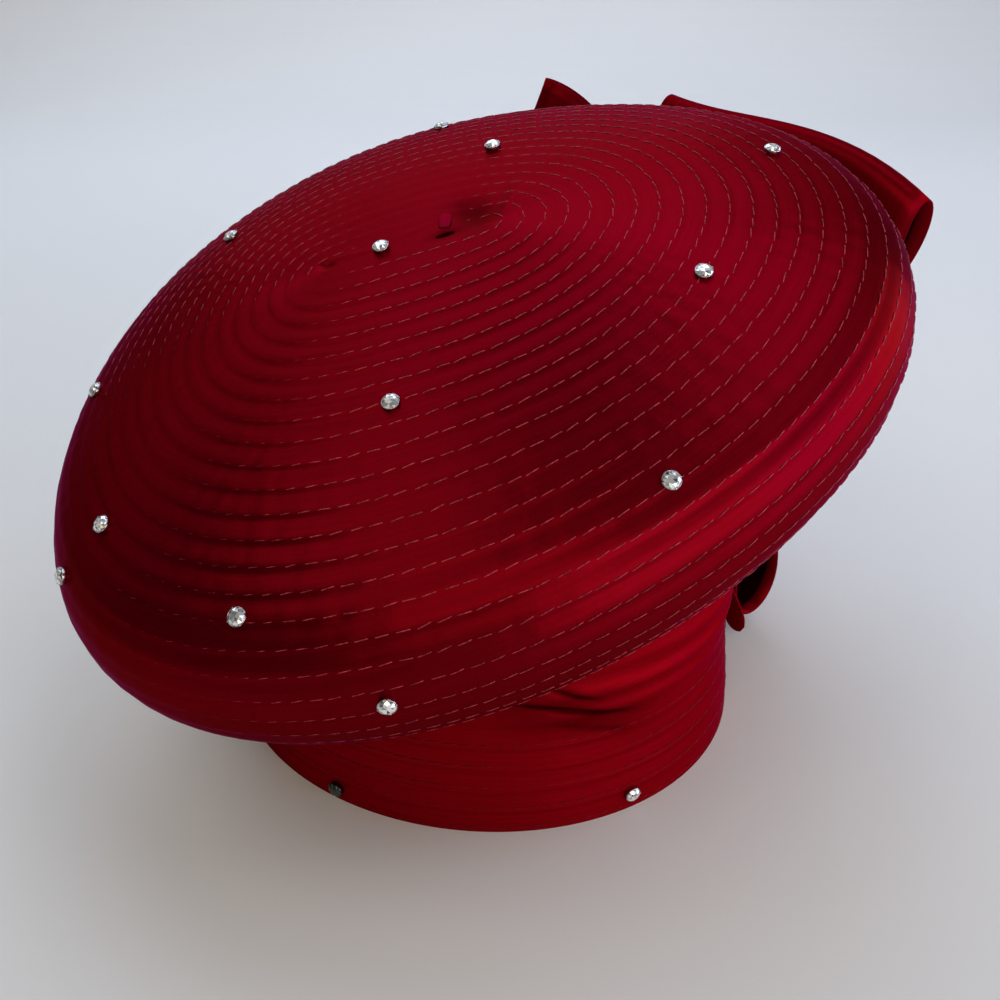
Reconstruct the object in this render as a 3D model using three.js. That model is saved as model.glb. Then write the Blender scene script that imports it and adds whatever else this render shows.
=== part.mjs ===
// Satin dress hat: a wide oval tam of sewn ribbon rows, tilted on a head-size band,
// with a ribbon bow at the side and claw-set stones.
// Millimetres, +Z up. The band's lower edge stands on z = 0.
import * as THREE from 'three';
import { mergeVertices } from 'three/addons/utils/BufferGeometryUtils.js';

// Driving dimensions, in millimetres and degrees
const SEAT_GAP = 0.3;
const AROUND_STEPS = 44;

const TAM = {
  centre: [-11.9, 18.7, 129.7],
  tilt: 23.3,
  riseTowards: 59,
  longHalf: 159.4,
  shortHalf: 128.8,
  turn: 25.7,
  nearSideWidening: 0.13,
  domeHeight: 49,
  coreCentre: [-10.6, 14.8],
  coreLength: 54,
  coreTurn: 8.7,
  coreEndSharpness: 2,
  rowsToRim: 21.65,
  rowsUnderRim: 3,
  rowStep: 0.8,
  stepWidth: 0.12,
  wall: 2,
  innerRows: [24.4, 23.2, 22, 20.6, 19.2, 17.5, 15, 12, 9, 6, 3, 1],
};

// Slope of the tam's section, as a share of the run from the core to the shoulder:
// a dome that steepens to the shoulder, a wide roll round the rim and a tighter tuck under it
const SECTION = {
  shoulderSlope: 22.2,
  slopePower: 1.74,
  rollRadius: 0.27,
  rollEndSlope: 115,
  tuckRadius: 0.13,
  tuckEndSlope: 168,
  samples: 600,
};

const BAND = {
  centre: [-8, 4.5],
  turn: -14,
  longHalf: 102,
  shortHalf: 88.5,
  wall: 2.2,
  leanIn: 4,
  leanHeight: 45,
  rowHeight: 9,
  rows: 5,
  rowStep: 0.5,
  stepHeight: 0.8,
  tuckIntoTam: 6,
  foldFadeFrom: 22,
  foldFadeTo: 11,
  upperRings: 8,
  innerRings: 4,
};

// Soft folds in the band's drape under the tam: where round the band, how high, how deep
const DRAPE_FOLDS = [
  { around: -48, spread: 34, height: 49, thickness: 3.2, depth: 1.6 },
  { around: -34, spread: 38, height: 58, thickness: 3.4, depth: 2.0 },
  { around: -16, spread: 34, height: 68, thickness: 3.6, depth: 1.8 },
];

const RIBBON = { wall: 1.2, rootGap: 1.6, acrossSteps: 4, alongSteps: 16 };
// Largest value of share * share * (1 - share), by which the bend of a fold line is measured
const BEND_PEAK = 4 / 27;

// Ribbon pieces of the bow. Edge a and edge b run from the knot by way of an elbow to the fold or end;
// opening sets how far the two layers of a loop part, bow how far the fold line bends outwards
const BOW_LOOPS = [
  {
    name: 'bow_loop_upper',
    opening: 27,
    bow: 11,
    edgeA: { root: [56.9, 85.7, 104.9], elbow: [84, 180, 130], end: [74, 147, 203] },
    edgeB: { root: [79.2, 68.3, 104.9], elbow: [177, 88, 116], end: [161, 60, 180] },
  },
  {
    name: 'bow_loop_rear',
    opening: 17,
    bow: 3,
    edgeA: { root: [48.7, 87.1, 102], elbow: [72, 174, 191], end: [21, 156, 209] },
    edgeB: { root: [48.7, 87.1, 82], elbow: [16, 186, 80], end: [-12, 152, 112] },
  },
  {
    name: 'bow_loop_lower',
    opening: 30,
    bow: 4,
    edgeA: { root: [81.2, 68.6, 79.9], elbow: [124.5, 41, 58], end: [108.5, 26, 9.5] },
    edgeB: { root: [58.9, 86, 79.9], elbow: [76, 142, 58], end: [50, 114, 12] },
  },
];
const BOW_TAIL = {
  name: 'bow_tail_lower',
  edgeA: { root: [76.9, 65.1, 100], elbow: [89, 30, 42], end: [105.5, 10, 17] },
  edgeB: { root: [76.9, 65.1, 84], elbow: [86, 36, 28], end: [101, 11, 9] },
};
const KNOT = { centre: [63.2, 75.4, 92.2], half: [12.6, 16.5, 10.6], turn: 51.1, squareness: 0.72 };

const STONE = {
  settingRadius: 3.4,
  girdleRadius: 3.1,
  tableRadius: 1.8,
  lipHeight: 1.1,
  crownHeight: 1.8,
  tableHeight: 2.6,
  sides: 8,
};

// Stones on the tam: rows out from the core, and the angle from the core's line
const TAM_STONES = [
  { row: 15.0, around: 83.2 },
  { row: 8.5, around: 67.5 },
  { row: 14.5, around: 8.8 },
  { row: 0.4, around: 98.5 },
  { row: 10.9, around: 322.8 },
  { row: 12.0, around: 135 },
  { row: 15.7, around: 175 },
  { row: 8.8, around: 264 },
  { row: 16.7, around: 293.3 },
  { row: 15.2, around: 211.8 },
  { row: 18.4, around: 207.2 },
  { row: 16.5, around: 243.8 },
  { row: 20.4, around: 259.8 },
  { row: 19.4, around: 48 },
  { row: 20.8, around: 80 },
  { row: 20.2, around: 112 },
  { row: 20.4, around: 148 },
  { row: 22.5, around: 190 },
];
// Stones on the band: the angle round the head oval, and the height
const BAND_STONES = [
  { around: -44.8, height: 7 },
  { around: -108.1, height: 5 },
  { around: 178, height: 24 },
  { around: 146, height: 44 },
  { around: 104, height: 14 },
  { around: 122, height: 66 },
];

const SATIN = new THREE.MeshStandardMaterial({ color: 0x7d0619, roughness: 0.38, metalness: 0 });
const RIBBON_SATIN = new THREE.MeshStandardMaterial({ color: 0x7a0518, roughness: 0.34, metalness: 0 });
const CRYSTAL = new THREE.MeshStandardMaterial({ color: 0xe6e8ec, roughness: 0.08, metalness: 0.1 });

const UP = new THREE.Vector3(0, 0, 1);
const rad = THREE.MathUtils.degToRad;
const vec = (list) => new THREE.Vector3(...list);

// Joins rings of points, each ring with the next, into one closed body whose faces point out.
// The last ring meets the first one, or flat caps close the ends, or rings that fold to a line do.
function bodyFromRings(rings, ends) {
  const count = rings[0].length;
  const positions = [];
  rings.forEach((ring) => ring.forEach((point) => positions.push(point.x, point.y, point.z)));
  const faces = [];
  const quad = (a, b, c, d) => faces.push(a, b, c, a, c, d);
  const spans = ends === 'joined' ? rings.length : rings.length - 1;
  for (let j = 0; j < spans; j += 1) {
    const here = j * count;
    const next = ((j + 1) % rings.length) * count;
    for (let i = 0; i < count; i += 1) {
      const k = (i + 1) % count;
      quad(here + i, next + i, next + k, here + k);
    }
  }
  if (ends === 'capped') {
    const last = (rings.length - 1) * count;
    for (let i = 0; i < count / 2 - 1; i += 1) {
      const across = count - 1 - i;
      quad(i, i + 1, across - 1, across);
      quad(last + across, last + across - 1, last + i + 1, last + i);
    }
  }
  const loose = new THREE.BufferGeometry();
  loose.setAttribute('position', new THREE.Float32BufferAttribute(positions, 3));
  loose.setIndex(faces);
  return facingOut(mergeVertices(loose, 1e-3));
}

// Leaves out faces without area, and turns the body right side out by the sign of its volume
function facingOut(geometry) {
  const index = geometry.getIndex().array;
  const point = (i) => new THREE.Vector3().fromBufferAttribute(geometry.getAttribute('position'), i);
  const kept = [];
  let volume = 0;
  for (let i = 0; i < index.length; i += 3) {
    const [a, b, c] = [index[i], index[i + 1], index[i + 2]];
    if (a !== b && b !== c && c !== a) {
      kept.push([a, b, c]);
      volume += point(a).dot(point(b).cross(point(c)));
    }
  }
  geometry.setIndex(kept.flatMap(([a, b, c]) => (volume > 0 ? [a, b, c] : [a, c, b])));
  geometry.computeVertexNormals();
  return geometry;
}

// The tam's section: reach (0 at the core, 1 at the rim) and height above the rim plane, by row
function makeSection() {
  const shoulder = rad(SECTION.shoulderSlope);
  const rollEnd = 1 + SECTION.rollRadius * (rad(SECTION.rollEndSlope) - shoulder);
  const tuckTurn = rad(SECTION.tuckEndSlope - SECTION.rollEndSlope);
  const end = rollEnd + SECTION.tuckRadius * tuckTurn;
  const slopeAt = (run) => {
    if (run < 1) {
      return shoulder * run ** SECTION.slopePower;
    }
    if (run < rollEnd) {
      return shoulder + (run - 1) / SECTION.rollRadius;
    }
    return rad(SECTION.rollEndSlope) + (run - rollEnd) / SECTION.tuckRadius;
  };
  const step = end / SECTION.samples;
  const points = [{ run: 0, reach: 0, drop: 0 }];
  for (let i = 0; i < SECTION.samples; i += 1) {
    const slope = slopeAt((i + 0.5) * step);
    const last = points[i];
    const reach = last.reach + step * Math.cos(slope);
    points.push({ run: (i + 1) * step, reach, drop: last.drop + step * Math.sin(slope) });
  }
  const rim = points.reduce((best, point) => (point.reach > best.reach ? point : best));
  const rowRun = rim.run / TAM.rowsToRim;
  const at = (row) => {
    const place = Math.min((row * rowRun) / step, SECTION.samples - 1e-6);
    const from = points[Math.floor(place)];
    const to = points[Math.floor(place) + 1];
    const share = place - Math.floor(place);
    const reach = THREE.MathUtils.lerp(from.reach, to.reach, share) / rim.reach;
    const drop = THREE.MathUtils.lerp(from.drop, to.drop, share) / rim.drop;
    return { reach, height: TAM.domeHeight * (1 - drop) };
  };
  return { at, lastRow: end / rowRun };
}

const section = makeSection();

// The tam's own frame: its rim plane is level there, and turned up towards the rise direction here
const tamPlace = new THREE.Matrix4()
  .makeRotationAxis(
    new THREE.Vector3(Math.sin(rad(TAM.riseTowards)), -Math.cos(rad(TAM.riseTowards)), 0),
    rad(TAM.tilt),
  )
  .setPosition(vec(TAM.centre));
const tamPlaceBack = tamPlace.clone().invert();

// A point on the tam's smooth surface, in its own frame. Each ring lies between the core's line and
// the rim oval, at the section's reach.
function tamPoint(row, around) {
  const { reach, height } = section.at(row);
  const sharp = TAM.coreEndSharpness;
  const alongCore = (TAM.coreLength / 2) * (Math.tanh(sharp * Math.cos(around)) / Math.tanh(sharp));
  const core = new THREE.Vector2(alongCore, 0).rotateAround(new THREE.Vector2(), rad(TAM.coreTurn));
  core.add(new THREE.Vector2(...TAM.coreCentre));
  const rimAngle = around + rad(TAM.coreTurn - TAM.turn);
  const widening = 1 - TAM.nearSideWidening * Math.sin(rimAngle);
  const rim = new THREE.Vector2(
    TAM.longHalf * Math.cos(rimAngle) * widening,
    TAM.shortHalf * Math.sin(rimAngle),
  ).rotateAround(new THREE.Vector2(), rad(TAM.turn));
  const flat = core.lerp(rim, reach);
  return new THREE.Vector3(flat.x, flat.y, height);
}

function tamNormal(row, around) {
  const steadyRow = Math.min(Math.max(row, 1), section.lastRow - 0.05);
  const delta = 0.02;
  const outwards = tamPoint(steadyRow + delta, around).sub(tamPoint(steadyRow - delta, around));
  const along = tamPoint(steadyRow, around + delta).sub(tamPoint(steadyRow, around - delta));
  return outwards.cross(along).normalize();
}

function tamRing(row, offset) {
  return Array.from({ length: AROUND_STEPS }, (_, i) => {
    const around = (2 * Math.PI * i) / AROUND_STEPS;
    const normal = row === 0 ? UP : tamNormal(row, around);
    return tamPoint(row, around).addScaledVector(normal, offset);
  });
}

const bandPlace = new THREE.Matrix4().makeRotationZ(rad(BAND.turn)).setPosition(...BAND.centre, 0);
const bandPlaceBack = bandPlace.clone().invert();

// The oval round the head at a height: the band leans in a little as it rises
function headOval(around, height, offset) {
  const lean = BAND.leanIn * THREE.MathUtils.smoothstep(height, 0, BAND.leanHeight);
  const long = BAND.longHalf - lean + offset;
  const short = BAND.shortHalf - lean + offset;
  const point = new THREE.Vector3(long * Math.cos(around), short * Math.sin(around), height);
  return point.applyMatrix4(bandPlace);
}

// The tam's head opening: where the band's outside meets the plane of the tucked-in edge
const edgeHeight = section.at(section.lastRow).height;
const edgePlane = new THREE.Plane(UP.clone(), -edgeHeight).applyMatrix4(tamPlace);

function openingPoint(around, offset) {
  const foot = headOval(around, BAND.leanHeight, offset);
  const line = new THREE.Ray(foot.setZ(0), UP);
  return line.intersectPlane(edgePlane, new THREE.Vector3());
}

// The angles round the head oval that face the points of the tucked-in edge
const openingAngles = tamRing(section.lastRow, 0).map((edgePoint) => {
  const outside = edgePoint.applyMatrix4(tamPlace).applyMatrix4(bandPlaceBack);
  const long = BAND.longHalf - BAND.leanIn;
  const short = BAND.shortHalf - BAND.leanIn;
  return Math.atan2(outside.y / short, outside.x / long);
});

// The edge of the opening, in the tam's own frame
function lipRing(lift) {
  return openingAngles.map((around) => {
    const point = openingPoint(around, SEAT_GAP);
    return point.setZ(point.z + lift).applyMatrix4(tamPlaceBack);
  });
}

function makeTam() {
  const outside = [tamRing(0, 0)];
  const rows = Math.floor(TAM.rowsToRim) + TAM.rowsUnderRim;
  for (let row = 1; row <= rows; row += 1) {
    outside.push(tamRing(row - TAM.stepWidth / 2, TAM.rowStep));
    outside.push(tamRing(row + TAM.stepWidth / 2, 0));
  }
  outside.push(tamRing(section.lastRow, 0));
  const innerRows = [section.lastRow, ...TAM.innerRows, 0];
  const inside = innerRows.map((row) => tamRing(row, -TAM.wall));
  return bodyFromRings([...outside, lipRing(0), lipRing(TAM.wall), ...inside], 'folded');
}

function foldDepth(around, height) {
  return DRAPE_FOLDS.reduce((sum, fold) => {
    const turn = THREE.MathUtils.euclideanModulo(around - rad(fold.around) + Math.PI, 2 * Math.PI);
    const side = (turn - Math.PI) / rad(fold.spread);
    const rise = (height - fold.height) / fold.thickness;
    return sum + fold.depth * Math.exp(-side * side - rise * rise);
  }, 0);
}

function makeBand() {
  const rowsTop = BAND.rows * BAND.rowHeight;
  const topAt = (around) => openingPoint(around, 0).z + BAND.tuckIntoTam;
  const ring = (heightAt, offsetAt) =>
    openingAngles.map((around) => headOval(around, heightAt(around), offsetAt(around, heightAt(around))));
  const outside = [];
  for (let row = 0; row < BAND.rows; row += 1) {
    const low = row * BAND.rowHeight + (row > 0 ? BAND.stepHeight : 0);
    const high = (row + 1) * BAND.rowHeight;
    outside.push(ring(() => low, () => BAND.rowStep));
    outside.push(ring(() => high, (around, height) => foldDepth(around, height)));
  }
  for (let j = 1; j <= BAND.upperRings; j += 1) {
    const share = j / BAND.upperRings;
    const heightAt = (around) => THREE.MathUtils.lerp(rowsTop, topAt(around), share);
    const fade = (around, height) => {
      const below = topAt(around) - height;
      return THREE.MathUtils.smoothstep(below, BAND.foldFadeTo, BAND.foldFadeFrom);
    };
    outside.push(ring(heightAt, (around, height) => foldDepth(around, height) * fade(around, height)));
  }
  const inside = Array.from({ length: BAND.innerRings }, (_, j) => {
    const share = 1 - j / (BAND.innerRings - 1);
    return ring((around) => topAt(around) * share, () => -BAND.wall);
  });
  return bodyFromRings([...outside, ...inside], 'joined');
}

function edgeCurve({ root, elbow, end }) {
  return new THREE.QuadraticBezierCurve3(vec(root), vec(elbow), vec(end));
}

// A point on a ribbon between its two edges. A loop runs out to its fold and back, with its two
// layers parted across the ribbon's face; a tail only runs out.
function ribbonPoint(piece, across, along) {
  const isLoop = piece.opening !== undefined;
  const turn = Math.PI * along;
  const reach = isLoop ? Math.sin(turn) : along;
  const a = edgeCurve(piece.edgeA);
  const b = edgeCurve(piece.edgeB);
  const point = a.getPoint(reach).lerp(b.getPoint(reach), across);
  if (isLoop) {
    const width = b.getPoint(reach).sub(a.getPoint(reach)).normalize();
    const run = a.getTangent(reach).lerp(b.getTangent(reach), across).normalize();
    const face = run.clone().cross(width).normalize();
    const parting = Math.cos(turn) * (RIBBON.rootGap + piece.opening * reach * reach);
    const bend = (across * across * (1 - across)) / BEND_PEAK;
    point.addScaledVector(face, parting);
    point.addScaledVector(run, piece.bow * bend * reach * reach);
  }
  return point;
}

// A ribbon of even thickness about its middle surface
function makeRibbon(piece) {
  const delta = 0.01;
  const rings = [];
  for (let j = 0; j <= RIBBON.alongSteps; j += 1) {
    const along = j / RIBBON.alongSteps;
    const upper = [];
    const lower = [];
    for (let i = 0; i <= RIBBON.acrossSteps; i += 1) {
      const across = i / RIBBON.acrossSteps;
      const [before, after] = [Math.max(along - delta, 0), Math.min(along + delta, 1)];
      const [near, far] = [Math.max(across - delta, 0), Math.min(across + delta, 1)];
      const run = ribbonPoint(piece, across, after).sub(ribbonPoint(piece, across, before));
      const width = ribbonPoint(piece, far, along).sub(ribbonPoint(piece, near, along));
      const normal = run.cross(width).normalize();
      const point = ribbonPoint(piece, across, along);
      upper.push(point.clone().addScaledVector(normal, RIBBON.wall / 2));
      lower.unshift(point.clone().addScaledVector(normal, -RIBBON.wall / 2));
    }
    rings.push([...upper, ...lower]);
  }
  return bodyFromRings(rings, 'capped');
}

// A soft square pad: a ball whose coordinates are raised to a power and stretched
function makeKnot() {
  const ball = new THREE.SphereGeometry(1, 16, 12);
  ball.deleteAttribute('normal');
  ball.deleteAttribute('uv');
  const soften = (value) => Math.sign(value) * Math.abs(value) ** KNOT.squareness;
  const points = ball.getAttribute('position');
  for (let i = 0; i < points.count; i += 1) {
    points.setXYZ(i, soften(points.getX(i)), soften(points.getY(i)), soften(points.getZ(i)));
  }
  ball.scale(...KNOT.half);
  return facingOut(mergeVertices(ball, 1e-3));
}

// A claw setting with a round cut stone in it: straight cup, girdle, crown facets and a flat table
function makeStone() {
  const ring = (radius, height, share) =>
    Array.from({ length: STONE.sides }, (_, i) => {
      const angle = (2 * Math.PI * (i + share)) / STONE.sides;
      return new THREE.Vector3(radius * Math.cos(angle), radius * Math.sin(angle), height);
    });
  const hub = (height) => Array.from({ length: STONE.sides }, () => new THREE.Vector3(0, 0, height));
  const rings = [
    hub(0),
    ring(STONE.settingRadius, 0, 0),
    ring(STONE.settingRadius, STONE.lipHeight, 0),
    ring(STONE.girdleRadius, STONE.crownHeight, 0.5),
    ring(STONE.tableRadius, STONE.tableHeight, 0),
    hub(STONE.tableHeight),
  ];
  return bodyFromRings(rings, 'folded');
}

function named(name, geometry, material) {
  const mesh = new THREE.Mesh(geometry, material);
  mesh.name = name;
  return mesh;
}

function stoneAt(number, point, normal) {
  const stone = named(`stone_${String(number).padStart(2, '0')}`, makeStone(), CRYSTAL);
  stone.position.copy(point);
  stone.quaternion.setFromUnitVectors(UP, normal);
  return stone;
}

const tamGroup = new THREE.Group();
tamGroup.applyMatrix4(tamPlace);
tamGroup.add(named('tam', makeTam(), SATIN));
TAM_STONES.forEach((stone, i) => {
  const normal = tamNormal(stone.row, rad(stone.around));
  const point = tamPoint(stone.row, rad(stone.around));
  tamGroup.add(stoneAt(i + 1, point.addScaledVector(normal, TAM.rowStep + SEAT_GAP), normal));
});

const hat = new THREE.Group();
hat.add(tamGroup);
hat.add(named('band', makeBand(), SATIN));
BAND_STONES.forEach((stone, i) => {
  const around = rad(stone.around);
  const normal = new THREE.Vector3(
    Math.cos(around) / BAND.longHalf,
    Math.sin(around) / BAND.shortHalf,
    0,
  ).transformDirection(bandPlace);
  const point = headOval(around, stone.height, BAND.rowStep + SEAT_GAP);
  hat.add(stoneAt(TAM_STONES.length + i + 1, point, normal));
});
BOW_LOOPS.forEach((loop) => hat.add(named(loop.name, makeRibbon(loop), RIBBON_SATIN)));
hat.add(named(BOW_TAIL.name, makeRibbon(BOW_TAIL), RIBBON_SATIN));
const knot = named('bow_knot', makeKnot(), RIBBON_SATIN);
knot.position.set(...KNOT.centre);
knot.rotation.z = rad(KNOT.turn);
hat.add(knot);

// The origin is the middle of the hat's box, on the surface that it stands on
const box = new THREE.Box3().setFromObject(hat, true);
const middle = box.getCenter(new THREE.Vector3());
hat.position.set(-middle.x, -middle.y, -box.min.z);

export default hat;
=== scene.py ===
import math

import bmesh
import bpy
import numpy as np
from mathutils import Matrix, Vector


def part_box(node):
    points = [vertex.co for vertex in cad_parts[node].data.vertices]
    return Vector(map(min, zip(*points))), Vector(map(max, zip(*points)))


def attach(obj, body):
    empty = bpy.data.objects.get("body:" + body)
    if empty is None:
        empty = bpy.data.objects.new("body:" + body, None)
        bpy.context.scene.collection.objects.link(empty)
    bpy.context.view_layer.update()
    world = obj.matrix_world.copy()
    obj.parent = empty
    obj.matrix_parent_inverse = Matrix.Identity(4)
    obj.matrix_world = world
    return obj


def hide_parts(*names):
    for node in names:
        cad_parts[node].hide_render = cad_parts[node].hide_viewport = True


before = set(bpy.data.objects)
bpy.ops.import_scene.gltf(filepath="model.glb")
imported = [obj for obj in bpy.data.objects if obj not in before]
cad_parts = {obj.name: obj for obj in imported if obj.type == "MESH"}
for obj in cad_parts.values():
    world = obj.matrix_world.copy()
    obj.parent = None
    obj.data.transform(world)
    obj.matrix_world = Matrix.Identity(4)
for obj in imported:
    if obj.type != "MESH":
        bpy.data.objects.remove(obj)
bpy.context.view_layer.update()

bl_info = {
    "name": "Satin Tam Hat",
    "version": (1, 0, 0),
    "blender": (4, 5, 0),
    "location": "3D View > Sidebar > Satin Hat",
    "description": "Dresses a crimson satin tam hat: spiral rows, stitches, band, bow and stones",
    "category": "Add Mesh",
}

MM = 0.001
SEAT_GAP = 0.3 * MM
MERGE_DISTANCE = 0.002 * MM
SECTION_SAMPLES = 600
# Largest value of share * share * (1 - share), by which the bend of a fold line is measured
BEND_PEAK = 4 / 27
FULL_TURN = 2 * np.pi
UP = np.array([0.0, 0.0, 1.0])

# The hat's own frame stands on the middle of the head; the knot's box says where that is here
KNOT_CENTRE = np.array([0.0632, 0.0754, 0.0922])
HAT_SHIFT = np.array((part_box("bow_knot")[0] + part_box("bow_knot")[1]) / 2) - KNOT_CENTRE

# One ribbon row in section: share of the way across, and lift off the smooth form in millimetres.
# The row swells from its root to the stitches and rolls down softly beyond them.
ROW_PROFILE = (
    {"across": 0.0, "lift": 0.0},
    {"across": 0.18, "lift": 0.045},
    {"across": 0.40, "lift": 0.130},
    {"across": 0.60, "lift": 0.172},
    {"across": 0.74, "lift": 0.155},
    {"across": 0.83, "lift": 0.090},
    {"across": 0.92, "lift": 0.025},
)
STITCH_LINE = ROW_PROFILE[4]

# Soft sectors of the tam, as middle and spread in degrees: the rows are loose at the near left and
# stand a little proud at the near right, and the stitches lie deep at the far left and the far side
NEAR_LEFT = (245, 20)
NEAR_RIGHT = (293, 34)
FAR_LEFT = (200, 42)
FAR_SIDE = (88, 48)

# How proud the rows stand, in times their section: everywhere, in each sector and at the rim. The near
# left calms down over its rows. Rows are counted from the core, and the edge's back from the last one.
ROWS_PROUD = {
    "everywhere": 0.9, "near_left": 2.7, "calmed": 0.75, "calm_rows": (15.5, 18.5),
    "near_right": 0.7, "rim": 1.0, "rim_rows": (16.5, 18),
    "core_rows": (0.6, 3.4), "edge_rows": (1.4, 0.2), "pucker_rows": (3, 14),
}

# Random waves in the cloth: seed, number of sines, whole wave numbers round the piece, scale of the
# other coordinate where there is one, and size
WAVES = {
    "row_pucker": {"seed": 7, "terms": 5, "low": 38, "high": 96, "scale": 2.4, "size": 0.04 * MM},
    "dome": {"seed": 19, "terms": 5, "low": 2, "high": 6, "scale": 0.35, "size": 0.22 * MM},
    "underside": {"seed": 5, "terms": 4, "low": 20, "high": 44, "size": 1.0},
    "drape": {"seed": 23, "terms": 6, "low": 2, "high": 9, "scale": 260, "size": 0.18 * MM},
    "ribbon_end": {"seed": 41, "terms": 6, "low": 5, "high": 12, "scale": 6, "size": 0.05},
}

# Sewing along the spiral: its first turn, the bare turns at the edge, samples a turn, how far a stitch
# strays in samples, its slant and the slant's spread, and its depth in threads for each sector
SEWING = {
    "first_turn": -0.3, "bare_turns": 1.7, "samples": 1200, "margin": 2,
    "seed": 3, "stray": 0.35, "slant": 0.09, "slant_spread": 0.05,
    "far_left": 0.95, "near_left": 0.45, "far_side": 0.9, "far_side_rows": (6, 12),
}
# A stitch from end to end: share of its length, then rise and girth in halves of the thread
STITCH_STATIONS = (
    {"at": -0.5, "rise": -1.3, "girth": 0.55},
    {"at": -0.38, "rise": 0.35, "girth": 1.0},
    {"at": 0.0, "rise": 0.8, "girth": 1.0},
    {"at": 0.38, "rise": 0.35, "girth": 1.0},
    {"at": 0.5, "rise": -1.3, "girth": 0.55},
)
THREAD_SIDES = 5

# Relief of the spiral's start in the tam's plan, millimetres and degrees: a notch and a ridge at the
# seam's end, the seam itself, the slot under the folded ribbon end, the hollow beside it and its rim.
# Each mark lifts the cloth, and its shade is painted shade in the satin's colour at the notch, slot and
# hollow
CORE_MARKS = (
    {"at": (-38.7, 13.0), "long": 2.4, "short": 1.8, "turn": 0, "lift": -0.9, "shade": 0.25},
    {"at": (-29.6, 15.8), "long": 8.0, "short": 0.9, "turn": 6, "lift": 0.45, "shade": 0},
    {"at": (-10.0, 21.5), "long": 11.0, "short": 1.1, "turn": 22, "lift": 0.2, "shade": 0},
    {"at": (4.0, 17.5), "long": 5.6, "short": 2.2, "turn": 14, "lift": -0.5, "shade": 0.6},
    {"at": (13.0, 26.0), "long": 6.5, "short": 8.5, "turn": 14, "lift": -1.6, "shade": 0.6},
    {"at": (27.5, 30.0), "long": 10.0, "short": 3.0, "turn": 70, "lift": 0.6, "shade": 0},
)

# Rows of the tam's inner wall, counted from the core
INNER_ROWS = (24.4, 23.2, 22, 20.6, 19.2, 17.5, 15, 12, 9, 6, 3, 1, 0)
# Underside of the tam: its lines, and its sag as a size and a share of the way to the band
UNDERSIDE = {"lines": 9, "most_sag": 0.5 * MM, "sag_share": 0.012}

# The band's sewn rows: mesh lines, stitches and the dip at them in shares of a row; how proud a row and
# the foot stand in times the row's step; and how the stitches of each row are shifted, in radians
BAND_ROW = {
    "lines": (0.0, 0.06, 0.14, 0.22, 0.30, 0.5, 0.75, 0.985), "stitches": 0.22,
    "dip_width": 0.08, "dip": 0.5, "proud": 0.2, "foot": 0.6, "end_fade": 0.5 * MM, "shift": 0.01,
}
BAND_SAMPLES = 1441
# The drape over them: mesh lines, and distances from the tam or the foot over which relief fades in,
# and a cap on the painted shade of its creases
DRAPE = {
    "lines": 73, "inner_lines": 9, "map_step": 0.01, "most_painted_shade": 0.9,
    "fold_fade": (11 * MM, 22 * MM), "crease_fade": (1 * MM, 8 * MM), "wave_fade": (4 * MM, 30 * MM),
}

# Soft folds in the band's drape: degrees round the band and millimetres
DRAPE_FOLDS = (
    {"around": -48, "spread": 34, "height": 49, "thickness": 3.2, "depth": 1.6},
    {"around": -34, "spread": 38, "height": 58, "thickness": 3.4, "depth": 2.0},
    {"around": -16, "spread": 34, "height": 68, "thickness": 3.6, "depth": 1.8},
)

# Creases in the drape under the tam: degrees round the band, millimetres, and millimetres a degree.
# Their shade is painted shade in each valley, and the wide last one, with no depth, is the tam's shadow
# painted on the band
BAND_CREASES = (
    {"around": -58, "spread": 13, "height": 51, "slant": -0.46, "thickness": 1.3,
     "depth": -0.7, "shade": 0.75},
    {"around": -59, "spread": 6, "height": 58.5, "slant": -0.75, "thickness": 1.3,
     "depth": -0.6, "shade": 0.75},
    {"around": -54, "spread": 8, "height": 41, "slant": -0.55, "thickness": 1.6,
     "depth": -0.4, "shade": 0.4},
    {"around": -58, "spread": 19, "height": 49, "slant": -0.4, "thickness": 10,
     "depth": 0, "shade": 0.4},
)

# Bow ribbons, millimetres: edges run from the knot by an elbow to the fold or the end
BOW_RIBBONS = (
    {
        "piece": "ribbon_upper", "node": "bow_loop_upper", "opening": 27, "bow": 11,
        "a": ((56.9, 85.7, 104.9), (84, 180, 130), (74, 147, 203)),
        "b": ((79.2, 68.3, 104.9), (177, 88, 116), (161, 60, 180)),
    },
    {
        "piece": "ribbon_rear", "node": "bow_loop_rear", "opening": 17, "bow": 3,
        "a": ((48.7, 87.1, 102), (72, 174, 191), (21, 156, 209)),
        "b": ((48.7, 87.1, 82), (16, 186, 80), (-12, 152, 112)),
    },
    {
        "piece": "ribbon_lower", "node": "bow_loop_lower", "opening": 30, "bow": 4,
        "a": ((81.2, 68.6, 79.9), (124.5, 41, 58), (108.5, 26, 9.5)),
        "b": ((58.9, 86, 79.9), (76, 142, 58), (50, 114, 12)),
    },
    {
        "piece": "ribbon_tail", "node": "bow_tail_lower", "opening": None, "bow": 0,
        "a": ((76.9, 65.1, 100), (89, 30, 42), (105.5, 10, 17)),
        "b": ((76.9, 65.1, 84), (86, 36, 28), (101, 11, 9)),
    },
)
# Mesh steps of a ribbon
RIBBON_STEPS = {"across": 20, "loop": 120, "end": 60}
# Gathers at the knot, in shares of a ribbon's reach, and the rounded tip of the ribbon's end
GATHERS = {"phase": 0.6, "fade": 0.45, "root": (0.0, 0.12)}
TIP = {"start": 0.90, "narrowest": 0.08}

# The knot's wrap: mesh lines, the wrapped pleats in shares of its size, and its map in metres
KNOT = {
    "lines": 49, "points": 96, "waist": 0.965, "pleat": 0.035, "pleats": 3, "skew": 0.4,
    "map": (0.08, 0.034),
}
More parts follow.
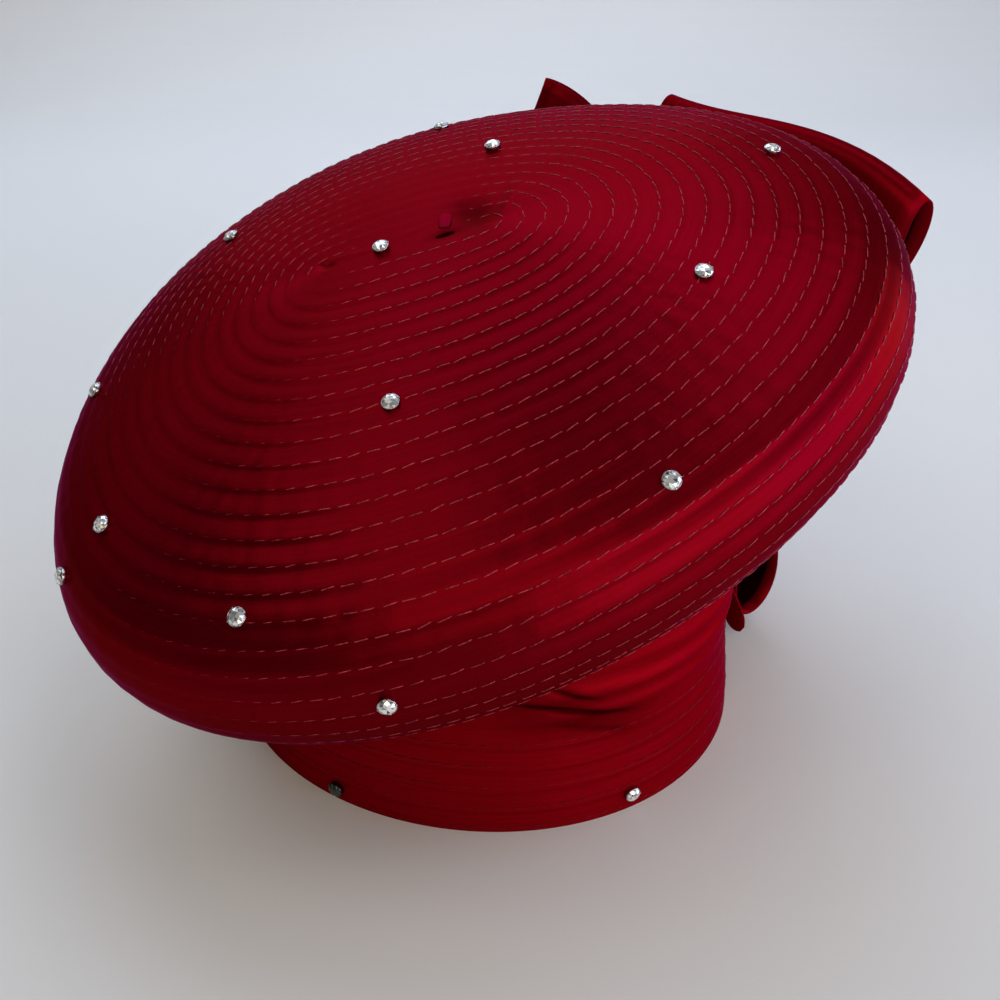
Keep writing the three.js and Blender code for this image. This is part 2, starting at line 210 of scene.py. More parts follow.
# The folded ribbon end and the slot at the spiral's start: mesh lines, squareness, and the end's crease
# and seat in shares of its half size. The slot is a flat dark sheet of painted shade
RIBBON_END = {
    "lines": 33, "points": 48, "squareness": 0.55, "crease": 0.45, "crease_at": 0.25,
    "crease_width": 0.2, "raised": 0.6,
}
SLOT = {"lines": 17, "points": 32, "squareness": 1.0}
CROWN_PAD_MAP = (0.01, 0.009)

# Stones on the tam: rows out from the core, and degrees from the core's line
TAM_STONES = (
    (15.0, 83.2), (8.5, 67.5), (14.5, 8.8), (0.4, 98.5), (10.9, 322.8), (12.0, 135.0),
    (15.7, 175.0), (8.8, 264.0), (16.7, 293.3), (15.2, 211.8), (18.4, 207.2), (16.5, 243.8),
    (20.4, 259.8), (19.4, 48.0), (20.8, 80.0), (20.2, 112.0), (20.4, 148.0), (22.5, 190.0),
)
# Stones on the band: degrees round the head oval, and height in millimetres
BAND_STONES = (
    (-44.8, 7.0), (-108.1, 5.0), (178.0, 24.0), (146.0, 44.0), (104.0, 14.0), (122.0, 66.0),
)
# The stone that sits in deep shade, painted dark as painted shade, and the share of its facets' light
# that is left
PAINTED_SHADE_STONE = 20
PAINTED_SHADE_LIGHT = 0.06
# The power by which bright facets outnumber dark ones, in the painted reflections of the crystals
FACET_POWER = 0.6

# A cut stone: facets round it, shares of the girdle's radius, and heights in millimetres
FACETS = 8
BELT_SIDES = 2 * FACETS
TABLE = {"radius": 0.56, "height": 2.25}
WAIST = {"radius": 0.84, "height": 1.90}
GIRDLE_TOP = {"radius": 1.0, "height": 1.30}
GIRDLE_FOOT = {"radius": 1.0, "height": 1.05}
# Its cup from the foot to the inside of the lip: share of the cup's radius, and millimetres
CUP_SIDES = 24
CUP_PROFILE = (
    (0.5, -0.9), (0.98, -0.8), (1.0, 0.3), (1.0, 0.95), (0.985, 1.2), (0.95, 1.34), (0.91, 1.34),
    (0.885, 1.22), (0.88, 0.9),
)
# A claw from root to tip: share of the cup's radius, then height, thickness and width in millimetres
CLAW_STATIONS = (
    (1.0, 0.8, 0.24, 0.60), (1.0, 1.25, 0.24, 0.60), (0.95, 1.5, 0.22, 0.55), (0.86, 1.62, 0.16, 0.40),
)
CLAW_CORNERS = 4
CLAW_SHIFT = 0.25

# Satins: lustre, depth of colour, whether painted shade darkens their tight folds, and a pale veil at
# low angles
SATINS = {
    "hat_satin": {"lustre": 0.9, "depth": (1.0, 1.0, 1.0), "folded": True, "veil": 0.04},
    # Painted light: the band is the tam's satin with less lustre, painted brighter, most in red
    "hat_band_satin_painted_light": {"lustre": 0.55, "depth": (1.42, 1.1, 1.0), "folded": True, "veil": 0.0},
    "hat_ribbon": {"lustre": 0.5, "depth": (0.95, 0.9, 0.85), "folded": False, "veil": 0.0},
    # Painted shade: the matt back is a tenth as deep as the face, for the shade inside the loops and the
    # slot
    "hat_ribbon_back_painted_shade": {"lustre": 0.2, "depth": (0.1, 0.1, 0.1), "folded": False, "veil": 0.0},
    "hat_ribbon_end": {"lustre": 0.6, "depth": (1.25, 4.0, 2.6), "folded": False, "veil": 0.0},
}

# Floor that curves up behind the hat, in metres
FLOOR = {"half_width": 4.0, "near": -4.0, "reach": 1.1, "curve": 0.9, "rise": 3.0, "bend_lines": 33}
SKY = {"tint": (0.93, 0.95, 1.0), "strength": 0.06}
# Camera: place in the hat's own frame in metres, how far it looks down in degrees, and millimetres
CAMERA = {"place": (0.0, -0.322, 0.286), "look_down": 32, "lens": 36, "sensor": 36, "clip_start": 0.01}

# Studio lights: place and aim in metres, width and height in metres, watts and tint
HAT_MIDDLE = (0.0, 0.0, 0.13)
LIGHTS = (
    {"name": "light_right", "spot": (1.57, 0.02, 0.31), "aim": HAT_MIDDLE, "size": (1.9, 0.55),
     "watts": 18.0, "tint": (0.66, 0.75, 1.0)},
    {"name": "light_front_right", "spot": (1.0, -1.22, 0.38), "aim": HAT_MIDDLE, "size": (1.2, 0.7),
     "watts": 8.3, "tint": (1.0, 0.94, 0.92)},
    {"name": "light_front", "spot": (-0.05, -1.31, 1.05), "aim": HAT_MIDDLE, "size": (1.1, 0.7),
     "watts": 5.0, "tint": (1.0, 0.90, 0.66)},
    {"name": "light_back", "spot": (-0.30, 1.28, 1.05), "aim": HAT_MIDDLE, "size": (1.5, 0.7),
     "watts": 6.4, "tint": (0.56, 0.72, 1.0)},
    {"name": "light_top_back", "spot": (-0.10, 0.74, 1.54), "aim": HAT_MIDDLE, "size": (1.1, 0.8),
     "watts": 5.6, "tint": (0.60, 0.76, 1.0)},
    {"name": "light_top_right", "spot": (0.62, 0.08, 1.58), "aim": HAT_MIDDLE, "size": (1.2, 0.9),
     "watts": 5.6, "tint": (0.84, 0.90, 1.0)},
    {"name": "light_top_left", "spot": (-0.75, -0.27, 1.52), "aim": HAT_MIDDLE, "size": (0.9, 0.8),
     "watts": 3.0, "tint": (1.0, 0.94, 0.86)},
    {"name": "light_left", "spot": (-1.40, 0.37, 0.90), "aim": HAT_MIDDLE, "size": (1.0, 0.7),
     "watts": 0.7, "tint": (1.0, 0.95, 0.95)},
    {"name": "light_backdrop", "spot": (-0.4, 0.9, 1.7), "aim": (-0.6, 2.0, 0.5), "size": (2.4, 0.4),
     "watts": 9.0, "tint": (0.97, 0.98, 1.0)},
)


def length(name, description, default):
    return bpy.props.FloatProperty(name=name, description=description, default=default, unit="LENGTH")


def angle(name, description, degrees):
    return bpy.props.FloatProperty(
        name=name, description=description, default=math.radians(degrees), unit="ROTATION"
    )


def number(name, description, default):
    return bpy.props.FloatProperty(name=name, description=description, default=default)


def count(name, description, default):
    return bpy.props.IntProperty(name=name, description=description, default=default)


def place(name, description, default):
    return bpy.props.FloatVectorProperty(
        name=name, description=description, default=default, size=len(default), unit="LENGTH"
    )


def colour(name, description, default):
    return bpy.props.FloatVectorProperty(
        name=name, description=description, default=default, size=3, subtype="COLOR", min=0, max=1
    )


class HatTamSettings(bpy.types.PropertyGroup):
    """Sizes of the tam"""

    centre: place("Centre", "Middle of the rim plane, from the head's middle", (-0.0119, 0.0187, 0.1297))
    tilt: angle("Tilt", "How far the rim plane is turned up", 23.3)
    rise_towards: angle("Rise towards", "Direction in which the rim rises", 59)
    long_half: length("Long half", "Half the rim's long width", 0.1594)
    short_half: length("Short half", "Half the rim's short width", 0.1288)
    turn: angle("Turn", "Turn of the rim oval", 25.7)
    near_widening: number("Near widening", "How much wider the near side is", 0.13)
    dome_height: length("Dome height", "Height of the core over the rim plane", 0.049)
    core_centre: place("Core centre", "Middle of the core's seam", (-0.0106, 0.0148))
    core_length: length("Core length", "Length of the core's seam", 0.054)
    core_turn: angle("Core turn", "Turn of the core's seam", 8.7)
    core_sharpness: number("Core sharpness", "How tightly the rows turn round the core's ends", 2.0)
    rows_to_rim: number("Rows to rim", "Ribbon rows between the core and the rim", 21.65)
    row_start: angle("Row start", "Where each row is counted from", 265)
    shoulder_slope: angle("Shoulder slope", "Slope at the shoulder", 22.2)
    slope_power: number("Slope power", "How late the dome steepens", 1.74)
    roll_radius: number("Roll radius", "Roll round the rim, as a share of the dome's run", 0.27)
    roll_end: angle("Roll end", "Slope where the roll ends", 115)
    tuck_radius: number("Tuck radius", "Tuck under the rim, as a share of the dome's run", 0.13)
    tuck_end: angle("Tuck end", "Slope where the tuck ends", 168)
    wall: length("Wall", "Thickness of the cloth wall", 0.002)
    end_centre: place("End centre", "Middle of the ribbon end, in the tam's plan", (0.0037, 0.0249))
    end_half: place("End half sizes", "Half sizes of the ribbon end", (0.0022, 0.0040, 0.0004))
    end_turn: angle("End turn", "Turn of the ribbon end", -6)
    slot_centre: place("Slot centre", "Middle of the slot, in the tam's plan", (0.0036, 0.0174))
    # The slot's dark mouth is a flat sheet of painted shade
    slot_half: place("Slot half sizes", "Half sizes of the slot's dark mouth", (0.0036, 0.0011, 0.0003))
    slot_turn: angle("Slot turn", "Turn of the slot", 14)
    steps_around: count("Steps around", "Mesh steps in one turn", 440)


class HatBandSettings(bpy.types.PropertyGroup):
    """Sizes of the head band"""

    centre: place("Centre", "Middle of the head oval", (-0.008, 0.0045))
    turn: angle("Turn", "Turn of the head oval", -14)
    long_half: length("Long half", "Half the oval's length", 0.102)
    short_half: length("Short half", "Half the oval's width", 0.0885)
    wall: length("Wall", "Thickness of the cloth wall", 0.0022)
    lean_in: length("Lean in", "How far the band leans in", 0.004)
    lean_height: length("Lean height", "Height over which it leans in", 0.045)
    row_height: length("Row height", "Height of a sewn row", 0.009)
    rows: count("Rows", "Sewn rows at the foot", 5)
    row_step: length("Row step", "Height of a row's edge", 0.0005)
    tuck_into_tam: length("Tuck into tam", "How far the band runs up into the tam", 0.006)
    steps_around: count("Steps around", "Mesh steps round the oval", 320)


class HatBowSettings(bpy.types.PropertyGroup):
    """Sizes of the bow"""

    wall: length("Ribbon wall", "Thickness of the folded ribbon", 0.0009)
    root_gap: length("Root gap", "Half gap of a loop's layers at the knot", 0.0016)
    pleat_depth: length("Pleat depth", "Depth of the gathers at the knot", 0.0009)
    pleats: number("Pleats", "Gathers across a ribbon", 2.5)
    knot_half: place("Knot half sizes", "Half sizes of the knot", (0.0126, 0.0165, 0.0106))
    knot_turn: angle("Knot turn", "Turn of the knot", 51.1)
    knot_squareness: number("Knot squareness", "1 is a ball, less is squarer", 0.72)


class HatStitchSettings(bpy.types.PropertyGroup):
    """Sizes of the stitches"""

    length: length("Length", "Length of a stitch", 0.0049)
    pitch: length("Pitch", "From one stitch to the next", 0.0059)
    thread: length("Thread", "Thickness of the thread", 0.00034)
    band_thread: length("Band thread", "Thickness of the band's thread", 0.00024)


class HatStoneSettings(bpy.types.PropertyGroup):
    """Sizes of the stones"""

    girdle: length("Girdle", "Radius of the cut stone", 0.00270)
    cup: length("Cup", "Radius of the claw cup", 0.0030)
    claws: count("Claws", "Claws that hold a stone", 4)


class HatFinishSettings(bpy.types.PropertyGroup):
    """Colours of the hat"""

    satin: colour("Satin", "Dyed satin", (0.18, 0.0010, 0.0058))
    satin_shade: colour("Satin shade", "Deeper streaks in the satin", (0.15, 0.0008, 0.0044))
    # Painted shade: the colour that tight folds, creases and hollows are darkened towards
    painted_fold_shade: colour("Painted fold shade", "Satin deep in a tight fold", (0.012, 0.0001, 0.0004))
    satin_gleam: colour("Satin gleam", "Satin seen at a low angle", (0.66, 0.02, 0.46))
    inside: colour("Inside", "Stiffened cloth inside", (0.06, 0.004, 0.010))
    thread: colour("Thread", "Sewing thread", (0.50, 0.046, 0.066))
    band_thread: colour("Band thread", "Sewing thread on the band", (0.20, 0.003, 0.008))
    # Painted reflections: each facet of a crystal is painted between these two colours
    crystal: colour("Crystal", "Bright facets of the foiled crystal", (0.97, 0.98, 0.97))
    crystal_shade: colour("Crystal shade", "Dark facets of the foiled crystal", (0.05, 0.055, 0.05))
    cup: colour("Cup", "Polished claw cup", (0.45, 0.42, 0.42))
    # Painted shade: the claw cup of the stone that sits in deep shade, painted dark
    painted_shade_cup: colour("Painted shade cup", "Claw cup of the stone gone dark", (0.06, 0.05, 0.05))
    floor: colour("Floor", "Pale studio floor", (0.80, 0.78, 0.75))


def smoothstep(low, high, value):
    """0 up to low, 1 from high on, and three squares less two cubes of the share between."""
    share = np.clip((value - low) / (high - low), 0, 1)
    return share * share * (3 - 2 * share)


def unit(vectors):
    """Vectors of length 1 in the same directions."""
    return vectors / np.maximum(np.linalg.norm(vectors, axis=-1, keepdims=True), 1e-12)


def turn_from(around, degrees):
    """Angle from a middle given in degrees, up to half a turn to each side."""
    return np.mod(around - math.radians(degrees) + np.pi, FULL_TURN) - np.pi


def flat_turn(turn):
    """Matrix of a turn about the upright axis."""
    c, s = math.cos(turn), math.sin(turn)
    return np.array([[c, -s, 0], [s, c, 0], [0, 0, 1]])


def running_length(points):
    """Distance along a line of points, from its first one."""
    return np.concatenate([[0], np.cumsum(np.linalg.norm(np.diff(points, axis=0), axis=1))])


def waves(name, around, other=None):
    """A smooth random field: a sum of sines with whole wave numbers round the piece, so that it closes,
    and seeded ones along the other coordinate, made about as large as its size."""
    wave = WAVES[name]
    rng = np.random.default_rng(wave["seed"])
    total = 0.0
    for _ in range(wave["terms"]):
        phase = rng.uniform(0, FULL_TURN) + rng.integers(wave["low"], wave["high"] + 1) * around
        if other is not None:
            phase = phase + rng.uniform(-1, 1) * (other * wave["scale"])
        total = total + np.sin(phase)
    return total / math.sqrt(wave["terms"]) * wave["size"]


class TamForm:
    """The tam's smooth outside as a function of row and angle.

    The section's slope grows by a power from the core to the shoulder, then turns evenly through a
    wide roll and a tighter tuck. Its cosine and sine, summed along the run, give reach and drop.
    A ring lies between the core's seam and the rim oval, at the section's reach, and the whole is
    turned up by the tilt."""

    # Rows and radians to each side by which the facing is measured, and the rows where it is steady
    probe = 0.02
    level_rows = 0.5
    first_steady_row = 1
    edge_margin = 0.05

    def __init__(self, tam):
        self.tam = tam
        roll_end = 1 + tam.roll_radius * (tam.roll_end - tam.shoulder_slope)
        end = roll_end + tam.tuck_radius * (tam.tuck_end - tam.roll_end)
        run = np.linspace(0, end, SECTION_SAMPLES + 1)
        middle = (run[1:] + run[:-1]) / 2
        dome = tam.shoulder_slope * middle**tam.slope_power
        roll = tam.shoulder_slope + (middle - 1) / tam.roll_radius
        tuck = tam.roll_end + (middle - roll_end) / tam.tuck_radius
        slope = np.where(middle < 1, dome, np.where(middle < roll_end, roll, tuck))
        reach = np.concatenate([[0], np.cumsum(np.cos(slope))])
        drop = np.concatenate([[0], np.cumsum(np.sin(slope))])
        rim = reach.argmax()
        self.rows = run * tam.rows_to_rim / run[rim]
        self.reach = reach / reach[rim]
        self.height = tam.dome_height * (1 - drop / drop[rim])
        self.last_row = self.rows[-1]
        axis = Vector((math.sin(tam.rise_towards), -math.cos(tam.rise_towards), 0))
        self.turned = np.array(Matrix.Rotation(tam.tilt, 3, axis))
        self.centre = np.array(tam.centre) + HAT_SHIFT

    def smooth(self, row, around):
        """A point of the smooth form in the tam's plan: the section's reach of the way from the core's
        seam, whose ends are drawn in by a tanh, to the rim oval, at the section's height."""
        tam = self.tam
        sharp = tam.core_sharpness
        seam = tam.core_length / 2 * np.tanh(sharp * np.cos(around)) / math.tanh(sharp)
        core_x = tam.core_centre[0] + seam * math.cos(tam.core_turn)
        core_y = tam.core_centre[1] + seam * math.sin(tam.core_turn)
        spin = around + tam.core_turn - tam.turn
        long = tam.long_half * np.cos(spin) * (1 - tam.near_widening * np.sin(spin))
        short = tam.short_half * np.sin(spin)
        rim_x = long * math.cos(tam.turn) - short * math.sin(tam.turn)
        rim_y = long * math.sin(tam.turn) + short * math.cos(tam.turn)
        reach = np.interp(row, self.rows, self.reach)
        height = np.interp(row, self.rows, self.height)
        flat_x = core_x + (rim_x - core_x) * reach
        flat_y = core_y + (rim_y - core_y) * reach
        return np.stack(np.broadcast_arrays(flat_x, flat_y, height), -1)

    def normal(self, row, around):
        """Square to the form: the cross product of its steps outwards and along; upright at the core."""
        probe = self.probe
        steady = np.clip(row, self.first_steady_row, self.last_row - self.edge_margin)
        outwards = self.smooth(steady + probe, around) - self.smooth(steady - probe, around)
        along = self.smooth(steady, around + probe) - self.smooth(steady, around - probe)
        at_core = np.broadcast_to(row < self.level_rows, outwards.shape[:-1])[..., None]
        return np.where(at_core, UP, unit(np.cross(outwards, along)))

    def settle(self, points):
        """Turns points of the plan up by the tilt and sets them on the head."""
        return points @ self.turned.T + self.centre

    def outside(self, row, around, lift):
        """A settled point that is lifted off the smooth form along its normal."""
        lift = np.asarray(lift)[..., None]
        return self.settle(self.smooth(row, around) + self.normal(row, around) * lift)

    def facing(self, row, around):
        return self.normal(row, around) @ self.turned.T


class BandForm:
    """The head oval as a function of angle and height: it leans in a little as it rises."""

    def __init__(self, band, form):
        self.band = band
        self.turned = flat_turn(band.turn)[:2, :2]
        self.centre = np.array(band.centre) + HAT_SHIFT[:2]
        self.edge_normal = form.turned @ UP
        self.edge_point = form.settle(np.array([0, 0, form.height[-1]]))

    def oval(self, around, height, offset):
        """A point of the band: an ellipse whose halves shrink smoothly by the lean, moved out."""
        band = self.band
        lean = band.lean_in * smoothstep(0, band.lean_height, height) - offset
        x = (band.long_half - lean) * np.cos(around)
        y = (band.short_half - lean) * np.sin(around)
        flat = np.stack(np.broadcast_arrays(x, y), -1) @ self.turned.T + self.centre
        rise = np.broadcast_to(height, flat.shape[:-1]) + HAT_SHIFT[2]
        return np.concatenate([flat, rise[..., None]], -1)

    def facing(self, around):
        """Square to the ellipse, and level."""
        x, y = np.cos(around) / self.band.long_half, np.sin(around) / self.band.short_half
        flat = unit(np.stack([x, y], -1) @ self.turned.T)
        return np.concatenate([flat, np.zeros(flat.shape[:-1] + (1,))], -1)

    def opening(self, around, offset):
        """Where the band's outside meets the plane of the tam's tucked-in edge."""
        foot = self.oval(around, self.band.lean_height, offset)
        away = (foot[..., :2] - self.edge_point[:2]) @ self.edge_normal[:2]
        foot[..., 2] = self.edge_point[2] - away / self.edge_normal[2]
        return foot

    def angles(self, points):
        """The ellipse's own angle at each point, seen from above."""
        flat = (points[..., :2] - self.centre) @ self.turned
        long = self.band.long_half - self.band.lean_in
        short = self.band.short_half - self.band.lean_in
        return np.arctan2(flat[..., 1] / short, flat[..., 0] / long)


def grid_quads(lines, points, first=0, closed=False):
    """Corner numbers of the quads of a grid, whose points run along each line; closed joins the
    last point of a line to its first."""
    index = first + np.arange(lines * points).reshape(lines, points)
    here, there = (index, np.roll(index, -1, 1)) if closed else (index[:, :-1], index[:, 1:])
    return np.stack([here[:-1], here[1:], there[1:], there[:-1]], -1).reshape(-1, 4)


def signed_volume(points, quads):
    """Six times the volume in a closed surface of quads: less than nothing where it is inside out."""
    a, b, c, d = (points[quads[:, k]] for k in range(4))
    return np.einsum("ij,ij->", a, np.cross(b, c)) + np.einsum("ij,ij->", a, np.cross(c, d))


def closed_uv(points, girth, levels):
    """Ribbon map of a closed grid's corners: distance round the girth, and the level of each line."""
    line, column = np.divmod(np.arange((len(levels) - 1) * points), points)
    u = np.stack([column, column, column + 1, column + 1], -1) / points * girth
    return np.stack([u, levels[np.stack([line, line + 1, line + 1, line], -1)]], -1)


def add_piece(name, mesh, cad_node=None):
    """Puts a finished mesh into an object at the origin and ties it to the frame."""
    mesh.update()
    piece = bpy.data.objects.new(name, mesh)
    bpy.context.scene.collection.objects.link(piece)
    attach(piece, "root")
    if cad_node:
        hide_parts(cad_node)
    return piece


def make_piece(
    name, points, quads, uv, materials, cad_node=None, finish=None, shade=None, merged=True
):
    """Makes a piece of a closed surface of quads, faces outwards. uv has one pair for each corner,
    finish a material number for each face and shade the painted shade at each point, which darkens
    the satin's colour in tight folds, creases and hollows."""
    if signed_volume(points - points.mean(0), quads) < 0:
        quads = quads[:, ::-1]
        uv = uv[:, ::-1]
    mesh = bpy.data.meshes.new(name)
    mesh.from_pydata(points, [], quads)
    ribbon_map = mesh.uv_layers.new(name="ribbon")
    ribbon_map.data.foreach_set("uv", np.ascontiguousarray(uv, np.float32).ravel())
    for material in materials:
        mesh.materials.append(material)
    if finish is not None:
        mesh.polygons.foreach_set("material_index", finish.astype(np.int32))
    # Painted shade, kept on each point for the satin to darken its colour by
    if shade is not None:
        painted_shade_layer = mesh.attributes.new("shade", "FLOAT", "POINT")
        painted_shade_layer.data.foreach_set("value", np.ascontiguousarray(shade, np.float32))
    if merged:
        body = bmesh.new()
        body.from_mesh(mesh)
        bmesh.ops.remove_doubles(body, verts=body.verts, dist=MERGE_DISTANCE)
        bmesh.ops.dissolve_degenerate(body, dist=MERGE_DISTANCE / 10, edges=body.edges)
        body.to_mesh(mesh)
        body.free()
    mesh.polygons.foreach_set("use_smooth", np.full(len(mesh.polygons), True))
    return add_piece(name, mesh, cad_node)


def start_material(name, roughness, **sockets):
    """A new material with its node tree, and a Principled shader whose constant sockets are set. A
    material that is there already comes back with no tree."""
    material = bpy.data.materials.get(name)
    if material:
        return material, None, None
    material = bpy.data.materials.new(name)
    material.use_nodes = True
    shader = material.node_tree.nodes["Principled BSDF"]
    shader.inputs["Roughness"].default_value = roughness
    for socket, value in sockets.items():
        shader.inputs[socket.replace("_", " ")].default_value = value
    return material, material.node_tree, shader


def node(tree, kind, **values):
    made = tree.nodes.new(kind)
    for key, value in values.items():
        if key in made.inputs:
            made.inputs[key].default_value = value
        else:
            setattr(made, key, value)
    return made


def ribbon_noise(tree, along, across, detail, roughness):
    """Noise on the piece's own ribbon map: metres along and across, times these scales."""
    source = node(tree, "ShaderNodeUVMap", uv_map="ribbon")
    mapping = node(tree, "ShaderNodeMapping", Scale=(along, across, 1))
    noise = node(tree, "ShaderNodeTexNoise", Scale=1.0, Detail=detail, Roughness=roughness)
    tree.links.new(source.outputs["UV"], mapping.inputs["Vector"])
    tree.links.new(mapping.outputs["Vector"], noise.inputs["Vector"])
    return noise.outputs["Fac"]


def object_texture(tree, kind, **values):
    """A texture on the piece's Object coordinates."""
    source = node(tree, "ShaderNodeTexCoord")
    texture = node(tree, kind, **values)
    tree.links.new(source.outputs["Object"], texture.inputs["Vector"])
    return texture.outputs["Fac"]


def two_tones(tree, factor, dark, light, low=0.0, high=1.0):
    """Colour that runs from dark to light as the factor goes from low to high."""
    ramp = node(tree, "ShaderNodeValToRGB")
    for element, position, tone in zip(ramp.color_ramp.elements, (low, high), (dark, light)):
        element.position = position
        element.color = (*tone, 1)
    tree.links.new(factor, ramp.inputs["Fac"])
    return ramp.outputs["Color"]


def vary_gloss(tree, shader, factor, low, high):
    """Roughness that runs from low to high by the factor."""
    gloss = node(tree, "ShaderNodeMapRange")
    gloss.inputs["To Min"].default_value = low
    gloss.inputs["To Max"].default_value = high
    tree.links.new(factor, gloss.inputs["Value"])
    tree.links.new(gloss.outputs["Result"], shader.inputs["Roughness"])


def bump(tree, height, strength, distance, under=None):
    """Normal bumped by a height, over another bump where one is given."""
    made = node(tree, "ShaderNodeBump", Strength=strength, Distance=distance)
    tree.links.new(height, made.inputs["Height"])
    if under is not None:
        tree.links.new(under, made.inputs["Normal"])
    return made.outputs["Normal"]


def satin_material(name):
    """Dyed satin: long floats along the ribbon stretch the gloss across it. Streaks along the thread
    vary colour and gloss, and a fine thread bump with soft puckers breaks it up. A lower lustre and
    depth give its matt back, painted dark as shade where it lines a loop or fills a slot; a folded
    piece takes painted shade from its shade attribute, mixed towards the painted fold shade colour;
    and a veil is a pale gleam at low angles."""
    finish = bpy.context.scene.hat_finish
    satin = SATINS[name]
    material, tree, shader = start_material(
        name, 0.37, Metallic=satin["lustre"], Anisotropic=0.72, Anisotropic_Rotation=0.25,
        Specular_IOR_Level=satin["veil"],
    )
    if tree is None:
        return material
    shader.inputs["Specular Tint"].default_value = (*finish.satin_gleam, 1)
    link = tree.links.new
    streak = ribbon_noise(tree, along=35, across=900, detail=4.0, roughness=0.6)
    dark = np.array(finish.satin_shade) * satin["depth"]
    light = np.array(finish.satin) * satin["depth"]
    tone = two_tones(tree, streak, dark, light, low=0.34, high=0.66)
    # Painted shade: the shade attribute mixes the colour towards the painted fold shade colour
    if satin["folded"]:
        shade = node(tree, "ShaderNodeAttribute", attribute_name="shade")
        painted_shade_mix = node(tree, "ShaderNodeMixRGB", Color2=(*finish.painted_fold_shade, 1))
        link(shade.outputs["Fac"], painted_shade_mix.inputs["Fac"])
        link(tone, painted_shade_mix.inputs["Color1"])
        tone = painted_shade_mix.outputs["Color"]
    link(tone, shader.inputs["Base Color"])
    vary_gloss(tree, shader, streak, low=0.34, high=0.42)
    thread = ribbon_noise(tree, along=420, across=5200, detail=2.0, roughness=0.5)
    pucker = ribbon_noise(tree, along=150, across=120, detail=2.0, roughness=0.45)
    fine = bump(tree, thread, strength=0.22, distance=0.06 * MM)
    link(bump(tree, pucker, strength=0.30, distance=0.45 * MM, under=fine), shader.inputs["Normal"])
    grain = node(tree, "ShaderNodeTangent", direction_type="UV_MAP", uv_map="ribbon")
    link(grain.outputs["Tangent"], shader.inputs["Tangent"])
    return material


def inside_material():
    """Stiffened cloth inside the hat: matt, with an open plain weave."""
    material, tree, shader = start_material(
        "hat_inside", 0.85, Sheen_Weight=0.2, Specular_IOR_Level=0.25
    )
    if tree is None:
        return material
    cloth = np.array(bpy.context.scene.hat_finish.inside)
    cloud = object_texture(tree, "ShaderNodeTexNoise", Scale=60.0, Detail=3.0)
    tree.links.new(two_tones(tree, cloud, 0.7 * cloth, cloth), shader.inputs["Base Color"])
    weave = object_texture(tree, "ShaderNodeTexWave", Scale=420.0, Distortion=1.5)
    tree.links.new(bump(tree, weave, strength=0.35, distance=0.2 * MM), shader.inputs["Normal"])
    return material


def thread_material(name, tint):
    """Sewing thread: twisted, with little gloss."""
    material, tree, shader = start_material(name, 0.5, Specular_IOR_Level=0.15)
    if tree is None:
        return material
    twist = object_texture(tree, "ShaderNodeTexNoise", Scale=900.0, Detail=2.0)
    tone = two_tones(tree, twist, 0.3 * np.array(tint), tint, low=0.36, high=0.64)
    tree.links.new(tone, shader.inputs["Base Color"])
    tree.links.new(bump(tree, twist, strength=0.4, distance=0.1 * MM), shader.inputs["Normal"])
    return material


def crystal_material(name, coat):
    """Foiled crystal: each facet's colour is a painted reflection, light or dark by its own number, that
    stands in for the pavilion seen through it and the light it throws back.
    """
    finish = bpy.context.scene.hat_finish
    material, tree, shader = start_material(
        name, 0.12, Metallic=0.65, Coat_Weight=coat, Coat_Roughness=0.02
    )
    if tree is None:
        return material
    facet = node(tree, "ShaderNodeAttribute", attribute_name="facet").outputs["Fac"]
    tone = two_tones(tree, facet, finish.crystal_shade, finish.crystal, low=0.05, high=0.75)
    tree.links.new(tone, shader.inputs["Base Color"])
    return material


def cup_material(name, tint):
    """Polished claw metal, with fine wear in its gloss."""
    roughness = 0.12
    material, tree, shader = start_material(name, roughness, Metallic=1.0)
    if tree is None:
        return material
    cloud = object_texture(tree, "ShaderNodeTexNoise", Scale=700.0, Detail=2.0)
    tree.links.new(two_tones(tree, cloud, 0.82 * np.array(tint), tint), shader.inputs["Base Color"])
    vary_gloss(tree, shader, cloud, low=roughness, high=roughness + 0.08)
    return material


def core_marks(flat, kind):
    """Sum of the marks' lift or painted shade at the spiral's start: each is a stretched Gaussian in
    the tam's plan.
    """
    total = 0.0
    for mark in CORE_MARKS:
        turn = math.radians(mark["turn"])
        x, y = flat[..., 0] / MM - mark["at"][0], flat[..., 1] / MM - mark["at"][1]
        along = (x * math.cos(turn) + y * math.sin(turn)) / mark["long"]
        across = (y * math.cos(turn) - x * math.sin(turn)) / mark["short"]
        total = total + mark[kind] * np.exp(-(along**2) - across**2)
    return total


def sector(around, middle, spread):
    """A soft sector of the tam: 1 at its middle angle, falling off as a Gaussian of this spread."""
    return np.exp(-((turn_from(around, middle) / math.radians(spread)) ** 2))


def row_lift(form, row, around, profile_lift):
    """Lift of the rows off the smooth form: the row's own section, in times how proud it stands there,
    with small puckers along the seam and a broad unevenness of the sewn dome, all faded out at the core
    and at the tucked-in edge, and the relief of the spiral's start."""
    rows = ROWS_PROUD
    edge_start, edge_end = (form.last_row - before for before in rows["edge_rows"])
    fade = smoothstep(*rows["core_rows"], row) * (1 - smoothstep(edge_start, edge_end, row))
    calm = 1 - rows["calmed"] * smoothstep(*rows["calm_rows"], row)
    proud = rows["everywhere"] + rows["near_left"] * sector(around, *NEAR_LEFT) * calm
    at_rim = rows["near_right"] + rows["rim"] * smoothstep(*rows["rim_rows"], row)
    proud = proud + sector(around, *NEAR_RIGHT) * at_rim
    uneven = waves("row_pucker", around, row) * smoothstep(*rows["pucker_rows"], row)
    uneven = uneven + waves("dome", around, row)
    marks = core_marks(form.smooth(row, around), "lift") * MM
    return fade * (profile_lift * proud + uneven) + marks


